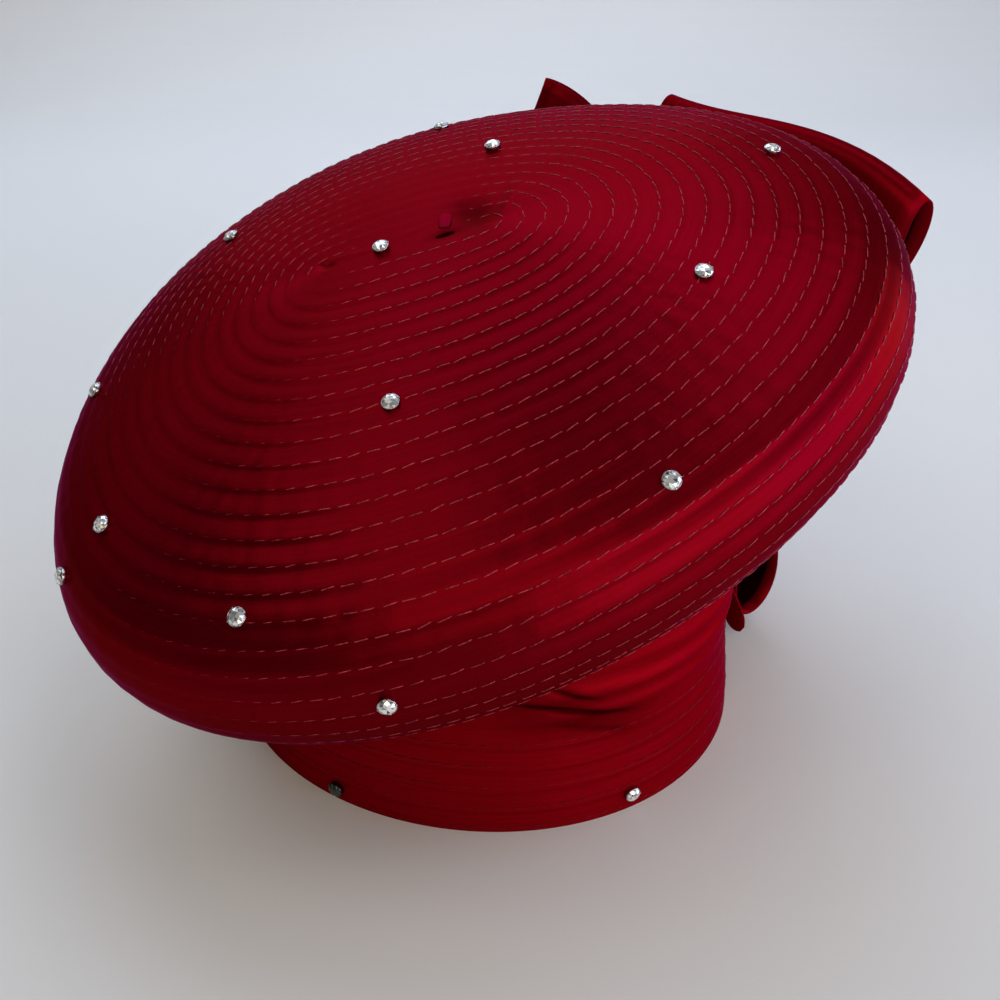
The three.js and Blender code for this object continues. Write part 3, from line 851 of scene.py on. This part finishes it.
def tam_forms():
    scene = bpy.context.scene
    form = TamForm(scene.hat_tam)
    return form, BandForm(scene.hat_band, form)


def start_angle(tam):
    """The angle that rows are counted from, on a whole mesh step."""
    step = FULL_TURN / tam.steps_around
    return round(tam.row_start / step) * step


class HAT_OT_tam(bpy.types.Operator):
    """Builds the tam: one spiral of shingled rows, the underside and the inner wall"""

    bl_idname = "hat.tam"
    bl_label = "Tam"

    def execute(self, context):
        tam = context.scene.hat_tam
        form, band_form = tam_forms()
        steps = tam.steps_around

        # The spiral: row is the turn plus the share across, and each line carries the row's section
        across = np.array([p["across"] for p in ROW_PROFILE])
        lift = np.array([p["lift"] for p in ROW_PROFILE]) * MM
        turns = math.ceil(form.last_row) + 1
        turn = np.arange(turns * steps + 1) / steps - 1
        around = (turn * FULL_TURN + start_angle(tam))[:, None]
        row = np.clip(turn[:, None] + across, 0, form.last_row)
        spiral = form.outside(row, around, row_lift(form, row, around, lift))
        lines, width = row.shape
        quads = grid_quads(lines, width)
        pitch = tam.long_half / tam.rows_to_rim
        run = running_length(spiral[:, width // 2])
        ribbon = np.stack(np.broadcast_arrays(run[:, None], (turn[:, None] + across) * pitch), -1)
        uv = ribbon.reshape(-1, 2)[quads]

        # The step from each row's edge to the root of the row one turn on
        first = np.arange(lines - 1 - steps)
        edge = first * width + width - 1
        below = (first + steps) * width
        step_quads = np.stack([edge, edge + width, below + width, below], -1)
        corner = first[:, None] + np.array([0, 1, 1, 0])
        share = np.array([across[-1], across[-1], 1, 1])
        step_uv = np.stack([run[corner], (turn[corner] + share) * pitch], -1)

        # The underside, which sags on its way in to the band, and the inner wall
        ring = np.arange(steps) * FULL_TURN / steps + start_angle(tam)
        edge_ring = form.outside(np.full(steps, form.last_row), ring, np.zeros(steps))
        lip = band_form.opening(band_form.angles(edge_ring), SEAT_GAP)
        share = np.linspace(0, 1, UNDERSIDE["lines"])[:-1, None, None]
        under = edge_ring + (lip - edge_ring) * share
        reach = np.linalg.norm(lip - edge_ring, axis=-1)
        most_sag = np.minimum(UNDERSIDE["most_sag"], reach * UNDERSIDE["sag_share"])
        sag = waves("underside", ring) * most_sag
        under[..., 2] -= (4 * share * (1 - share))[..., 0] * sag
        inner_rows = np.array([form.last_row, *INNER_ROWS])[:, None]
        inner = form.outside(inner_rows, ring[None, :], np.full((len(inner_rows), steps), -tam.wall))
        inner[-1] = form.settle(form.smooth(0.0, ring) - UP * tam.wall)
        shell = np.concatenate([under, lip[None], (lip + UP * tam.wall)[None], inner])
        shell_quads = grid_quads(len(shell), steps, first=lines * width, closed=True)[:, ::-1]
        depth = np.arange(len(shell)) * pitch + form.last_row * pitch
        shell_uv = closed_uv(steps, FULL_TURN * tam.short_half, depth)[:, ::-1]

        is_inner = np.arange(len(shell_quads)) // steps >= len(under) + 1
        # Painted shade at the spiral's start: the notch, the slot and the hollow are darkened in colour
        shade = core_marks(form.smooth(row, around), "shade").ravel()
        make_piece(
            "tam_rows",
            np.concatenate([spiral.reshape(-1, 3), shell.reshape(-1, 3)]),
            np.concatenate([quads, step_quads, shell_quads]),
            np.concatenate([uv, step_uv, shell_uv]),
            [satin_material("hat_satin"), inside_material()],
            "tam",
            finish=np.concatenate([np.zeros(len(quads) + len(step_quads)), is_inner]),
            shade=np.concatenate([shade, np.zeros(shell.size // 3)]),
        )
        return {"FINISHED"}


def sew(name, middle, along, out, thread, material):
    """Lays one stitch at each point: a tube of a few sides that rises from the cloth, runs along and
    dips back, whose rings stand at the stations of a flat-topped arch."""
    at, rise, girth = (
        np.array([station[key] for station in STITCH_STATIONS])[:, None, None]
        for key in ("at", "rise", "girth")
    )
    half = thread / 2
    spin = (np.arange(THREAD_SIDES) / THREAD_SIDES * FULL_TURN)[:, None]
    middle, along, out = (vectors[:, None, None] for vectors in (middle, along, out))
    side = unit(np.cross(along, out))
    path = middle + at * bpy.context.scene.hat_stitches.length * along + rise * half * out
    tubes = path + (np.cos(spin) * side + np.sin(spin) * out) * (girth * half)

    # Each five-sided end is closed by a quad and a triangle
    rings = len(STITCH_STATIONS)
    far = (rings - 1) * THREAD_SIDES
    ends = [[0, 1, 2, 4], [far + 4, far + 2, far + 1, far]]
    tips = np.array([[2, 3, 4], [far + 4, far + 3, far + 2]])
    quads = np.concatenate([grid_quads(rings, THREAD_SIDES, closed=True), ends])
    first = np.arange(len(tubes))[:, None, None] * rings * THREAD_SIDES
    faces = (first + quads).reshape(-1, 4).tolist() + (first + tips).reshape(-1, 3).tolist()
    mesh = bpy.data.meshes.new(name)
    mesh.from_pydata(tubes.reshape(-1, 3), [], faces)
    mesh.materials.append(material)
    mesh.polygons.foreach_set("use_smooth", np.full(len(faces), True))
    add_piece(name, mesh)


def even_places(points, pitch):
    """Index positions at even distances along a line of points."""
    run = running_length(points)
    marks = np.arange(pitch / 2, run[-1], pitch)
    return np.interp(marks, run, np.arange(len(points)))


class HAT_OT_tam_stitches(bpy.types.Operator):
    """Sews the tam's spiral: stitches at even distances along the outer slope of each row"""

    bl_idname = "hat.tam_stitches"
    bl_label = "Tam stitches"

    def execute(self, context):
        form, _ = tam_forms()
        stitches, finish = context.scene.hat_stitches, context.scene.hat_finish
        last_turn = form.last_row - SEWING["bare_turns"]
        turn = np.arange(SEWING["first_turn"], last_turn, 1 / SEWING["samples"])
        around = turn * FULL_TURN + start_angle(context.scene.hat_tam)
        row = turn + STITCH_LINE["across"]
        line = form.outside(row, around, row_lift(form, row, around, STITCH_LINE["lift"] * MM))
        rng = np.random.default_rng(SEWING["seed"])
        index = even_places(line, stitches.pitch)
        index = index + rng.normal(0, SEWING["stray"], len(index))
        index = np.clip(index, SEWING["margin"], len(line) - 1 - SEWING["margin"])

        def at_stitches(values):
            return np.interp(index, np.arange(len(line)), values)

        def points_at_stitches(points):
            return np.stack([at_stitches(column) for column in points.T], -1)

        middle = points_at_stitches(line)
        out = points_at_stitches(form.facing(row, around))
        along = unit(points_at_stitches(np.gradient(line, axis=0)))
        slant = rng.normal(SEWING["slant"], SEWING["slant_spread"], len(index))[:, None]
        along = unit(along + slant * np.cross(out, along))
        near_core = 1 - smoothstep(*SEWING["far_side_rows"], row)
        depth = SEWING["far_left"] * sector(around, *FAR_LEFT)
        depth = depth + SEWING["near_left"] * sector(around, *NEAR_LEFT)
        depth = depth + SEWING["far_side"] * sector(around, *FAR_SIDE) * near_core
        sunk = stitches.thread * at_stitches(depth)[:, None]
        material = thread_material("hat_thread", finish.thread)
        sew("tam_stitches", middle - out * sunk, along, out, stitches.thread, material)
        return {"FINISHED"}


def fold_depth(around, height):
    """Depth of the drape's folds: each is a soft ridge, a Gaussian round the band and up it."""
    total = 0.0
    for fold in DRAPE_FOLDS:
        side = turn_from(around, fold["around"]) / math.radians(fold["spread"])
        rise = (height / MM - fold["height"]) / fold["thickness"]
        total = total + fold["depth"] * MM * np.exp(-(side**2) - rise**2)
    return total


def band_row_lift(band, height):
    """Lift of the band's sewn rows: proud at each row's lower edge, with a dip at the stitches."""
    share = np.mod(height / band.row_height, 1.0)
    sewn_height = band.rows * band.row_height
    sewn = 1 - smoothstep(sewn_height - BAND_ROW["end_fade"], sewn_height + BAND_ROW["end_fade"], height)
    dip = np.exp(-(((share - BAND_ROW["stitches"]) / BAND_ROW["dip_width"]) ** 2))
    return sewn * BAND_ROW["proud"] * band.row_step * (1 - share - BAND_ROW["dip"] * dip)


def band_creases(around, height, kind):
    """Sum of the drape's creases: slanting valleys, Gaussian across and flat-topped along. By kind it
    gives their depth or their painted shade, with the tam's painted shadow.
    """
    total = 0.0
    for crease in BAND_CREASES:
        turn = np.degrees(turn_from(around, crease["around"]))
        rise = height / MM - crease["height"] - crease["slant"] * turn
        side = turn / crease["spread"]
        total = total + crease[kind] * np.exp(-(side**4) - (rise / crease["thickness"]) ** 2)
    return total


class HAT_OT_band(bpy.types.Operator):
    """Builds the head band: sewn rows at its foot, a draped top that runs into the tam, inner wall"""

    bl_idname = "hat.band"
    bl_label = "Band"

    def execute(self, context):
        band = context.scene.hat_band
        _, form = tam_forms()
        steps = band.steps_around
        around = np.arange(steps) / steps * FULL_TURN
        top = form.opening(around, 0.0)[:, 2] - HAT_SHIFT[2] + band.tuck_into_tam
        foot = (np.arange(band.rows)[:, None] + np.array(BAND_ROW["lines"])).ravel() * band.row_height
        rise = np.linspace(0, 1, DRAPE["lines"])[1:, None]
        upper = foot[-1] + (top - foot[-1]) * rise
        height = np.concatenate([np.broadcast_to(foot[:, None], (len(foot), steps)), upper])

        under_tam = top - height
        ripples = waves("drape", around, height) * smoothstep(*DRAPE["wave_fade"], height)
        lift = (fold_depth(around, height) + ripples) * smoothstep(*DRAPE["fold_fade"], under_tam)
        valleys = band_creases(around, height, "depth") * MM
        valleys = valleys * smoothstep(*DRAPE["crease_fade"], under_tam)
        outside = form.oval(around, height, band_row_lift(band, height) + lift + valleys)
        outside[0] = form.oval(around, 0.0, band.row_step * BAND_ROW["foot"])
        inner_height = top * np.linspace(1, 0, DRAPE["inner_lines"])[:, None]
        inside = form.oval(around, inner_height, -band.wall)
        shell = np.concatenate([outside, inside, outside[:1]])

        level = height.mean(1)
        inner_level = level.max() + DRAPE["map_step"] * np.arange(1, len(inside) + 2)
        girth = math.pi * (band.long_half + band.short_half)
        line = np.arange((len(shell) - 1) * steps) // steps
        # Painted shade in the creases and the tam's painted shadow on the drape under it
        shade = np.zeros(shell.shape[:2])
        shade[: len(outside)] = np.minimum(band_creases(around, height, "shade"), DRAPE["most_painted_shade"])
        make_piece(
            "band_drape", shell.reshape(-1, 3), grid_quads(len(shell), steps, closed=True),
            closed_uv(steps, girth, np.concatenate([level, inner_level])),
            [satin_material("hat_band_satin_painted_light"), inside_material()], "band",
            finish=(line >= len(outside)) & (line < len(shell) - 2), shade=shade.ravel(),
        )
        return {"FINISHED"}


def sewn_line(form, around, level):
    """Points on the band's outside at one level."""
    height = np.full(around.shape, level)
    return form.oval(around, height, band_row_lift(form.band, height) + fold_depth(around, height))


class HAT_OT_band_stitches(bpy.types.Operator):
    """Sews the band's rows: one level line of stitches in each row's dip"""

    bl_idname = "hat.band_stitches"
    bl_label = "Band stitches"

    def execute(self, context):
        band = context.scene.hat_band
        _, form = tam_forms()
        stitches, finish = context.scene.hat_stitches, context.scene.hat_finish
        circle = np.linspace(0, FULL_TURN, BAND_SAMPLES)
        middle, out = [], []
        for row in range(band.rows):
            level = (row + BAND_ROW["stitches"]) * band.row_height
            index = even_places(sewn_line(form, circle, level), stitches.pitch)
            around = np.interp(index, np.arange(len(circle)), circle) + row * BAND_ROW["shift"]
            middle.append(sewn_line(form, around, level))
            out.append(form.facing(around))
        middle, out = np.concatenate(middle), np.concatenate(out)
        material = thread_material("hat_band_thread", finish.band_thread)
        sew("band_stitches", middle, unit(np.cross(UP, out)), out, stitches.band_thread, material)
        return {"FINISHED"}


def bezier(points, share):
    """A quadratic curve from root by elbow to end."""
    root, elbow, end = np.array(points) * MM
    share = share[..., None]
    return root * (1 - share) ** 2 + elbow * 2 * share * (1 - share) + end * share**2


def bezier_run(points, share):
    """The direction of that curve: the share's way from its first leg to its second."""
    root, elbow, end = np.array(points) * MM
    share = share[..., None]
    return (elbow - root) * 2 * (1 - share) + (end - elbow) * 2 * share


def ribbon_surface(ribbon, bow, across, along):
    """The ribbon's middle surface. It lies between its two edge curves. A loop's reach is the sine
    of a half turn, so it runs out to its fold and back; the cosine parts its two layers along the
    face. The fold line bends out in the middle, and gathers fan out from the knot. A ribbon's end
    runs straight out, and its tip narrows in as an ellipse does."""
    loop = ribbon["opening"] is not None
    turn = np.pi * along
    reach = np.sin(turn) if loop else along
    edge_a, edge_b = bezier(ribbon["a"], reach), bezier(ribbon["b"], reach)
    point = edge_a + (edge_b - edge_a) * across[..., None]
    run_a, run_b = unit(bezier_run(ribbon["a"], reach)), unit(bezier_run(ribbon["b"], reach))
    run = unit(run_a + (run_b - run_a) * across[..., None])
    face = unit(np.cross(run, unit(edge_b - edge_a)))
    gather = bow.pleat_depth * np.sin(FULL_TURN * bow.pleats * across + GATHERS["phase"])
    gather = gather * np.exp(-((reach / GATHERS["fade"]) ** 2)) * smoothstep(*GATHERS["root"], reach)
    if not loop:
        tip = np.clip((along - TIP["start"]) / (1 - TIP["start"]), 0, 1)
        narrow = np.sqrt(np.maximum(1 - tip**2, TIP["narrowest"]))
        middle = (edge_a + edge_b) / 2
        return middle + (point - middle) * narrow[..., None] + face * gather[..., None]
    parting = np.cos(turn) * (bow.root_gap + ribbon["opening"] * MM * reach**2)
    swell = ribbon["bow"] * MM * across**2 * (1 - across) / BEND_PEAK * reach**2
    return point + face * (parting + gather * np.sign(np.cos(turn)))[..., None] + run * swell[..., None]


def ribbon_piece(ribbon, bow):
    """A ribbon of even thickness: the middle surface, moved half the thickness to each side. A loop's
    inner face takes the matt back, painted dark as the shade inside the loop, within a hem of satin."""
    loop = ribbon["opening"] is not None
    width_steps = RIBBON_STEPS["across"]
    length_steps = RIBBON_STEPS["loop" if loop else "end"]
    across, along = np.meshgrid(np.linspace(0, 1, width_steps + 1), np.linspace(0, 1, length_steps + 1))
    middle = ribbon_surface(ribbon, bow, across, along) + HAT_SHIFT
    run, width = np.gradient(middle, axis=0), np.gradient(middle, axis=1)
    normal = unit(np.cross(run, width))
    upper = middle + normal * bow.wall / 2
    lower = (middle - normal * bow.wall / 2)[:, ::-1]
    rings = np.concatenate([upper, lower], 1)
    lines, points = rings.shape[:2]
    near = np.arange(width_steps)
    cap = np.stack([near, near + 1, points - 2 - near, points - 1 - near], -1)
    far_cap = (lines - 1) * points + cap[:, ::-1]
    quads = np.concatenate([grid_quads(lines, points, closed=True), cap, far_cap])

    mean_width = float(np.linalg.norm(np.diff(middle, axis=1), axis=-1).sum(1).mean())
    spans = np.linalg.norm(np.diff(middle, axis=0), axis=-1)
    u = np.concatenate([[0], np.cumsum(spans.mean(1))])
    v = np.linspace(0, mean_width, width_steps + 1)
    v = np.concatenate([v, v[::-1]])
    vertex_uv = np.stack(np.broadcast_arrays(u[:, None], v), -1).reshape(-1, 2)

    centre = middle.mean((0, 1))
    upper_reach, lower_reach = (np.linalg.norm(face - centre, axis=-1).mean() for face in (upper, lower))
    column = np.arange((lines - 1) * points) % points
    place_across = column % (width_steps + 1)
    hem = np.minimum(place_across, width_steps - 1 - place_across) < 1
    inner = (column > width_steps) if upper_reach > lower_reach else (column < width_steps)
    # Painted shade: a loop's inner faces take the dark back satin, for the shade inside the loop
    painted_shade_finish = np.concatenate([inner & ~hem & loop, np.zeros(2 * width_steps, bool)])
    piece = make_piece(
        ribbon["piece"], rings.reshape(-1, 3), quads, vertex_uv[quads],
        [satin_material("hat_ribbon"), satin_material("hat_ribbon_back_painted_shade")],
        ribbon["node"], finish=painted_shade_finish, merged=False,
    )


def soft_pad(lines, points, squareness):
    """A ball about its y axis whose coordinates are raised to a power, with its angles and quads."""
    tilt, spin = np.meshgrid(
        np.linspace(0, np.pi, lines), np.arange(points) / points * FULL_TURN, indexing="ij"
    )
    ball = np.stack([np.sin(tilt) * np.cos(spin), np.cos(tilt), np.sin(tilt) * np.sin(spin)], -1)
    soft = np.sign(ball) * np.abs(ball) ** squareness
    return soft, tilt, spin, grid_quads(lines, points, closed=True)


def pad_uv(soft, girth, span):
    """Ribbon map of a pad: round its girth, and along its span in even lines."""
    lines, points = soft.shape[:2]
    return closed_uv(points, girth, np.arange(lines) / lines * span)


class HAT_OT_knot(bpy.types.Operator):
    """Builds the knot: a soft square pad with wrapped pleats"""

    bl_idname = "hat.knot"
    bl_label = "Knot"

    def execute(self, context):
        bow = context.scene.hat_bow
        soft, tilt, spin, quads = soft_pad(KNOT["lines"], KNOT["points"], bow.knot_squareness)
        wrap = np.cos(FULL_TURN * KNOT["pleats"] * soft[..., 1] + KNOT["skew"] * np.sin(spin))
        waist = KNOT["waist"] + KNOT["pleat"] * wrap * np.sin(tilt)
        soft = soft * np.stack([waist, np.ones_like(waist), waist], -1)
        shell = (soft * np.array(bow.knot_half)) @ flat_turn(bow.knot_turn).T + KNOT_CENTRE + HAT_SHIFT
        piece = make_piece(
            "knot_wrap", shell.reshape(-1, 3), quads, pad_uv(soft, *KNOT["map"]),
            [satin_material("hat_ribbon")], "bow_knot",
        )
        return {"FINISHED"}


def lay_pad(name, soft, quads, half, turn, centre, material):
    """Lays a soft pad of these half sizes flat on the tam's crown, turned about its middle."""
    form, _ = tam_forms()
    local = (soft * np.array(half)) @ flat_turn(turn).T + np.array([*centre, 0.0])
    local[..., 2] += form.tam.dome_height + core_marks(local, "lift") * MM
    points = form.settle(local).reshape(-1, 3)
    make_piece(name, points, quads, pad_uv(soft, *CROWN_PAD_MAP), [material])


class HAT_OT_ribbon_end(bpy.types.Operator):
    """Lays the small folded ribbon end, and a flat dark sheet of painted shade in the slot beside it, at
    the spiral's start
    """

    bl_idname = "hat.ribbon_end"
    bl_label = "Ribbon end"

    def execute(self, context):
        tam = context.scene.hat_tam
        end = RIBBON_END
        soft, tilt, spin, quads = soft_pad(end["lines"], end["points"], end["squareness"])
        fray = 1 + waves("ribbon_end", spin, tilt) * np.sin(tilt)
        crease = np.exp(-(((soft[..., 0] - end["crease_at"]) / end["crease_width"]) ** 2))
        folded = soft * np.stack([fray, fray, 1 - end["crease"] * crease], -1)
        folded[..., 2] += end["raised"]
        lay_pad(
            "ribbon_end", folded, quads, tam.end_half, tam.end_turn, tam.end_centre,
            satin_material("hat_ribbon_end"),
        )
        # Painted shade: a flat dark sheet in the slot stands in for the shadow under the ribbon end
        mouth, _, _, quads = soft_pad(SLOT["lines"], SLOT["points"], SLOT["squareness"])
        lay_pad(
            "slot_painted_shade", mouth, quads, tam.slot_half, tam.slot_turn, tam.slot_centre,
            satin_material("hat_ribbon_back_painted_shade"),
        )
        return {"FINISHED"}


class HAT_OT_bow(bpy.types.Operator):
    """Builds the bow's folded ribbons"""

    bl_idname = "hat.bow"
    bl_label = "Bow"

    def execute(self, context):
        for ribbon in BOW_RIBBONS:
            ribbon_piece(ribbon, context.scene.hat_bow)
        return {"FINISHED"}


def lathe(profile, sides, spin):
    """Rings of a turned profile: radius and height pairs carried round the axis."""
    angle_at = (np.arange(sides) + spin) / sides * FULL_TURN
    radius, height = np.array(profile).T[..., None]
    x, y = radius * np.cos(angle_at), radius * np.sin(angle_at)
    return np.stack(np.broadcast_arrays(x, y, height), -1)


def cut_crystal(girdle):
    """Points and faces of the crystal: rings at the table, the waist and both edges of the girdle, with
    kite, star and girdle facets between them. The table is a fan, so that each of its faces can take
    its own light."""

    def ring(level, sides, spin=0.0):
        return lathe([(girdle * level["radius"], level["height"] * MM)], sides, spin)[0]

    points = np.concatenate([
        ring(TABLE, FACETS), ring(WAIST, FACETS, spin=0.5), ring(GIRDLE_TOP, BELT_SIDES),
        ring(GIRDLE_FOOT, BELT_SIDES), [[0, 0, TABLE["height"] * MM]],
    ])
    table = np.arange(FACETS)
    next_table = (table + 1) % FACETS
    waist = FACETS + table
    waist_before = FACETS + (table - 1) % FACETS
    belt = np.arange(BELT_SIDES)
    top = 2 * FACETS + belt
    foot = top + BELT_SIDES
    next_top, next_foot = np.roll(top, -1), np.roll(foot, -1)
    below, beside, after = top[0::2], top[1::2], np.roll(top[0::2], -1)
    facets = (
        np.stack([np.full(FACETS, len(points) - 1), table, next_table], -1),
        np.stack([table, waist_before, below, waist], -1),
        np.stack([table, waist, next_table], -1),
        np.stack([waist, below, beside], -1),
        np.stack([waist, beside, after], -1),
        np.stack([top, foot, next_foot, next_top], -1),
    )
    return points, sum((facet.tolist() for facet in facets), [foot[::-1].tolist()])


def claw_cup(cup, claws, first):
    """Points and faces of the cup, numbered from first: a turned profile with a rounded lip, and low
    claws of four corners at each station."""
    points = lathe(np.array(CUP_PROFILE) * (cup, MM), CUP_SIDES, spin=0.5).reshape(-1, 3)
    faces = grid_quads(len(CUP_PROFILE), CUP_SIDES, closed=True).tolist()
    lip = len(points) - CUP_SIDES
    faces += [list(range(CUP_SIDES))[::-1], list(range(lip, len(points)))]
    reach, height, thick, wide = np.array(CLAW_STATIONS).T[..., None]
    claw_faces = grid_quads(len(CLAW_STATIONS), CLAW_CORNERS, closed=True)[:, ::-1]
    for n in range(claws):
        spin = FULL_TURN * (n + CLAW_SHIFT) / claws
        out = np.array([math.cos(spin), math.sin(spin), 0])
        side = np.array([-math.sin(spin), math.cos(spin), 0])
        middle = reach * cup * out + height * MM * UP
        deep, broad = thick * MM / 2 * out, wide * MM / 2 * side
        corners = (deep + broad, deep - broad, -deep - broad, broad - deep)
        claw = np.stack([middle + corner for corner in corners], 1).reshape(-1, 3)
        root = len(points)
        points = np.concatenate([points, claw])
        tip = len(points) - CLAW_CORNERS
        faces += (claw_faces + root).tolist()
        faces += [list(range(root, root + CLAW_CORNERS)), list(range(tip, len(points)))[::-1]]
    return points, [[first + corner for corner in face] for face in faces]


class HAT_OT_stones(bpy.types.Operator):
    """Sets the claw-set crystals on the tam and the band, each square to the cloth"""

    bl_idname = "hat.stones"
    bl_label = "Stones"

    def execute(self, context):
        stone, finish = context.scene.hat_stones, context.scene.hat_finish
        form, band_form = tam_forms()
        crystal_points, crystal = cut_crystal(stone.girdle)
        cup_points, cup = claw_cup(stone.cup, stone.claws, len(crystal_points))
        shape = np.concatenate([crystal_points, cup_points])
        is_cup = np.repeat([False, True], [len(crystal), len(cup)])
        bright = (
            crystal_material("hat_crystal", coat=1.0),
            cup_material("hat_cup", finish.cup),
        )
        # Painted shade: the stone in deep shade takes dark crystal and cup materials
        painted_shade_finish = (
            crystal_material("hat_crystal_painted_shade", coat=0.12),
            cup_material("hat_cup_painted_shade", finish.painted_shade_cup),
        )
        row, turn = np.array(TAM_STONES).T
        turn = np.radians(turn)
        spots = list(zip(form.outside(row, turn, np.full(len(row), SEAT_GAP)), form.facing(row, turn)))
        turn, height = np.array(BAND_STONES).T
        turn = np.radians(turn)
        band_spots = band_form.oval(turn, height * MM, np.full(len(turn), SEAT_GAP))
        spots += list(zip(band_spots, band_form.facing(turn)))
        for n, (spot, out) in enumerate(spots, start=1):
            name = f"crystal_{n:02d}"
            turned = np.array(Vector(UP).rotation_difference(Vector(out)).to_matrix())
            mesh = bpy.data.meshes.new(name)
            mesh.from_pydata(shape @ turned.T + spot, [], crystal + cup)
            body = bmesh.new()
            body.from_mesh(mesh)
            bmesh.ops.recalc_face_normals(body, faces=body.faces)
            body.to_mesh(mesh)
            body.free()
            for material in painted_shade_finish if n == PAINTED_SHADE_STONE else bright:
                mesh.materials.append(material)
            mesh.polygons.foreach_set("material_index", is_cup.astype(np.int32))
            mesh.polygons.foreach_set("use_smooth", is_cup)
            # Painted reflections: each facet gets its own brightness, which the crystal material paints
            light = np.random.default_rng(n).uniform(0, 1, len(is_cup)) ** FACET_POWER
            light = light * (PAINTED_SHADE_LIGHT if n == PAINTED_SHADE_STONE else 1.0)
            mesh.attributes.new("facet", "FLOAT", "FACE").data.foreach_set("value", light)
            add_piece(name, mesh, f"stone_{n:02d}")
        return {"FINISHED"}


def add_light(light):
    """Hangs a soft panel of light that the camera doesn't see, turned to its aim."""
    lamp = bpy.data.lights.new(light["name"], "AREA")
    lamp.shape = "RECTANGLE"
    lamp.size, lamp.size_y = light["size"]
    lamp.energy = light["watts"]
    lamp.color = light["tint"]
    stand = bpy.data.objects.new(light["name"], lamp)
    stand.location = light["spot"]
    stand.rotation_euler = (Vector(light["aim"]) - stand.location).to_track_quat("-Z", "Y").to_euler()
    stand.visible_camera = False
    bpy.context.scene.collection.objects.link(stand)


def floor_mesh():
    """The floor: a line that runs level, bends up in a quarter circle and rises, swept sideways."""
    bend = np.linspace(0, np.pi / 2, FLOOR["bend_lines"])
    reach, curve, half_width = FLOOR["reach"], FLOOR["curve"], FLOOR["half_width"]
    profile_y = np.concatenate([[FLOOR["near"]], reach + curve * np.sin(bend), [reach + curve]])
    profile_z = np.concatenate([[0.0], curve * (1 - np.cos(bend)), [FLOOR["rise"]]])
    sweep = np.stack([np.broadcast_arrays(x, profile_y, profile_z) for x in (-half_width, half_width)])
    mesh = bpy.data.meshes.new("studio_floor")
    mesh.from_pydata(np.moveaxis(sweep, 1, 2).reshape(-1, 3), [], grid_quads(2, len(profile_y)))
    return mesh


def floor_material():
    """A pale matt floor with a faint cloud in its colour."""
    material, tree, shader = start_material("hat_floor", 0.65, Specular_IOR_Level=0.3)
    if tree is None:
        return material
    pale = np.array(bpy.context.scene.hat_finish.floor)
    cloud = object_texture(tree, "ShaderNodeTexNoise", Scale=3.0, Detail=3.0)
    tree.links.new(two_tones(tree, cloud, 0.96 * pale, pale), shader.inputs["Base Color"])
    return material


class HAT_OT_stage(bpy.types.Operator):
    """Sets the pale floor, the soft light and the camera"""

    bl_idname = "hat.stage"
    bl_label = "Stage"

    def execute(self, context):
        scene = context.scene
        mesh = floor_mesh()
        mesh.materials.append(floor_material())
        floor = bpy.data.objects.new("studio_floor", mesh)
        scene.collection.objects.link(floor)

        world = bpy.data.worlds.new("studio")
        world.use_nodes = True
        sky = world.node_tree.nodes["Background"]
        sky.inputs["Color"].default_value = (*SKY["tint"], 1)
        sky.inputs["Strength"].default_value = SKY["strength"]
        scene.world = world
        for light in LIGHTS:
            add_light(light)
        scene.view_settings.view_transform = "Standard"

        lens = bpy.data.cameras.new("photo_camera")
        lens.lens = CAMERA["lens"]
        lens.sensor_width = CAMERA["sensor"]
        lens.clip_start = CAMERA["clip_start"]
        camera = bpy.data.objects.new("photo_camera", lens)
        camera.location = Vector(np.array(CAMERA["place"]) + HAT_SHIFT)
        camera.rotation_euler = (math.radians(90 - CAMERA["look_down"]), 0, 0)
        scene.collection.objects.link(camera)
        scene.camera = camera
        return {"FINISHED"}


class HAT_PT_panel(bpy.types.Panel):
    """Lists the hat's pieces and their settings"""

    bl_idname = "HAT_PT_panel"
    bl_label = "Satin Hat"
    bl_space_type = "VIEW_3D"
    bl_region_type = "UI"
    bl_category = "Satin Hat"

    def draw(self, context):
        for operator in OPERATORS:
            self.layout.operator(operator.bl_idname)
        for settings in SETTINGS:
            group = getattr(context.scene, settings)
            self.layout.label(text=settings.replace("_", " "))
            for name in group.bl_rna.properties.keys():
                if name not in ("rna_type", "name"):
                    self.layout.prop(group, name)


SETTINGS = {
    "hat_tam": HatTamSettings,
    "hat_band": HatBandSettings,
    "hat_bow": HatBowSettings,
    "hat_stitches": HatStitchSettings,
    "hat_stones": HatStoneSettings,
    "hat_finish": HatFinishSettings,
}
OPERATORS = (
    HAT_OT_stage, HAT_OT_tam, HAT_OT_tam_stitches, HAT_OT_band, HAT_OT_band_stitches,
    HAT_OT_ribbon_end, HAT_OT_knot, HAT_OT_bow, HAT_OT_stones,
)


def register():
    for cls in (*SETTINGS.values(), *OPERATORS, HAT_PT_panel):
        bpy.utils.register_class(cls)
    for name, cls in SETTINGS.items():
        setattr(bpy.types.Scene, name, bpy.props.PointerProperty(type=cls))


def unregister():
    for name in SETTINGS:
        delattr(bpy.types.Scene, name)
    for cls in reversed((*SETTINGS.values(), *OPERATORS, HAT_PT_panel)):
        bpy.utils.unregister_class(cls)


def main():
    register()
    for operator in OPERATORS:
        area, name = operator.bl_idname.split(".")
        getattr(getattr(bpy.ops, area), name)()


if __name__ == "__main__":
    main()
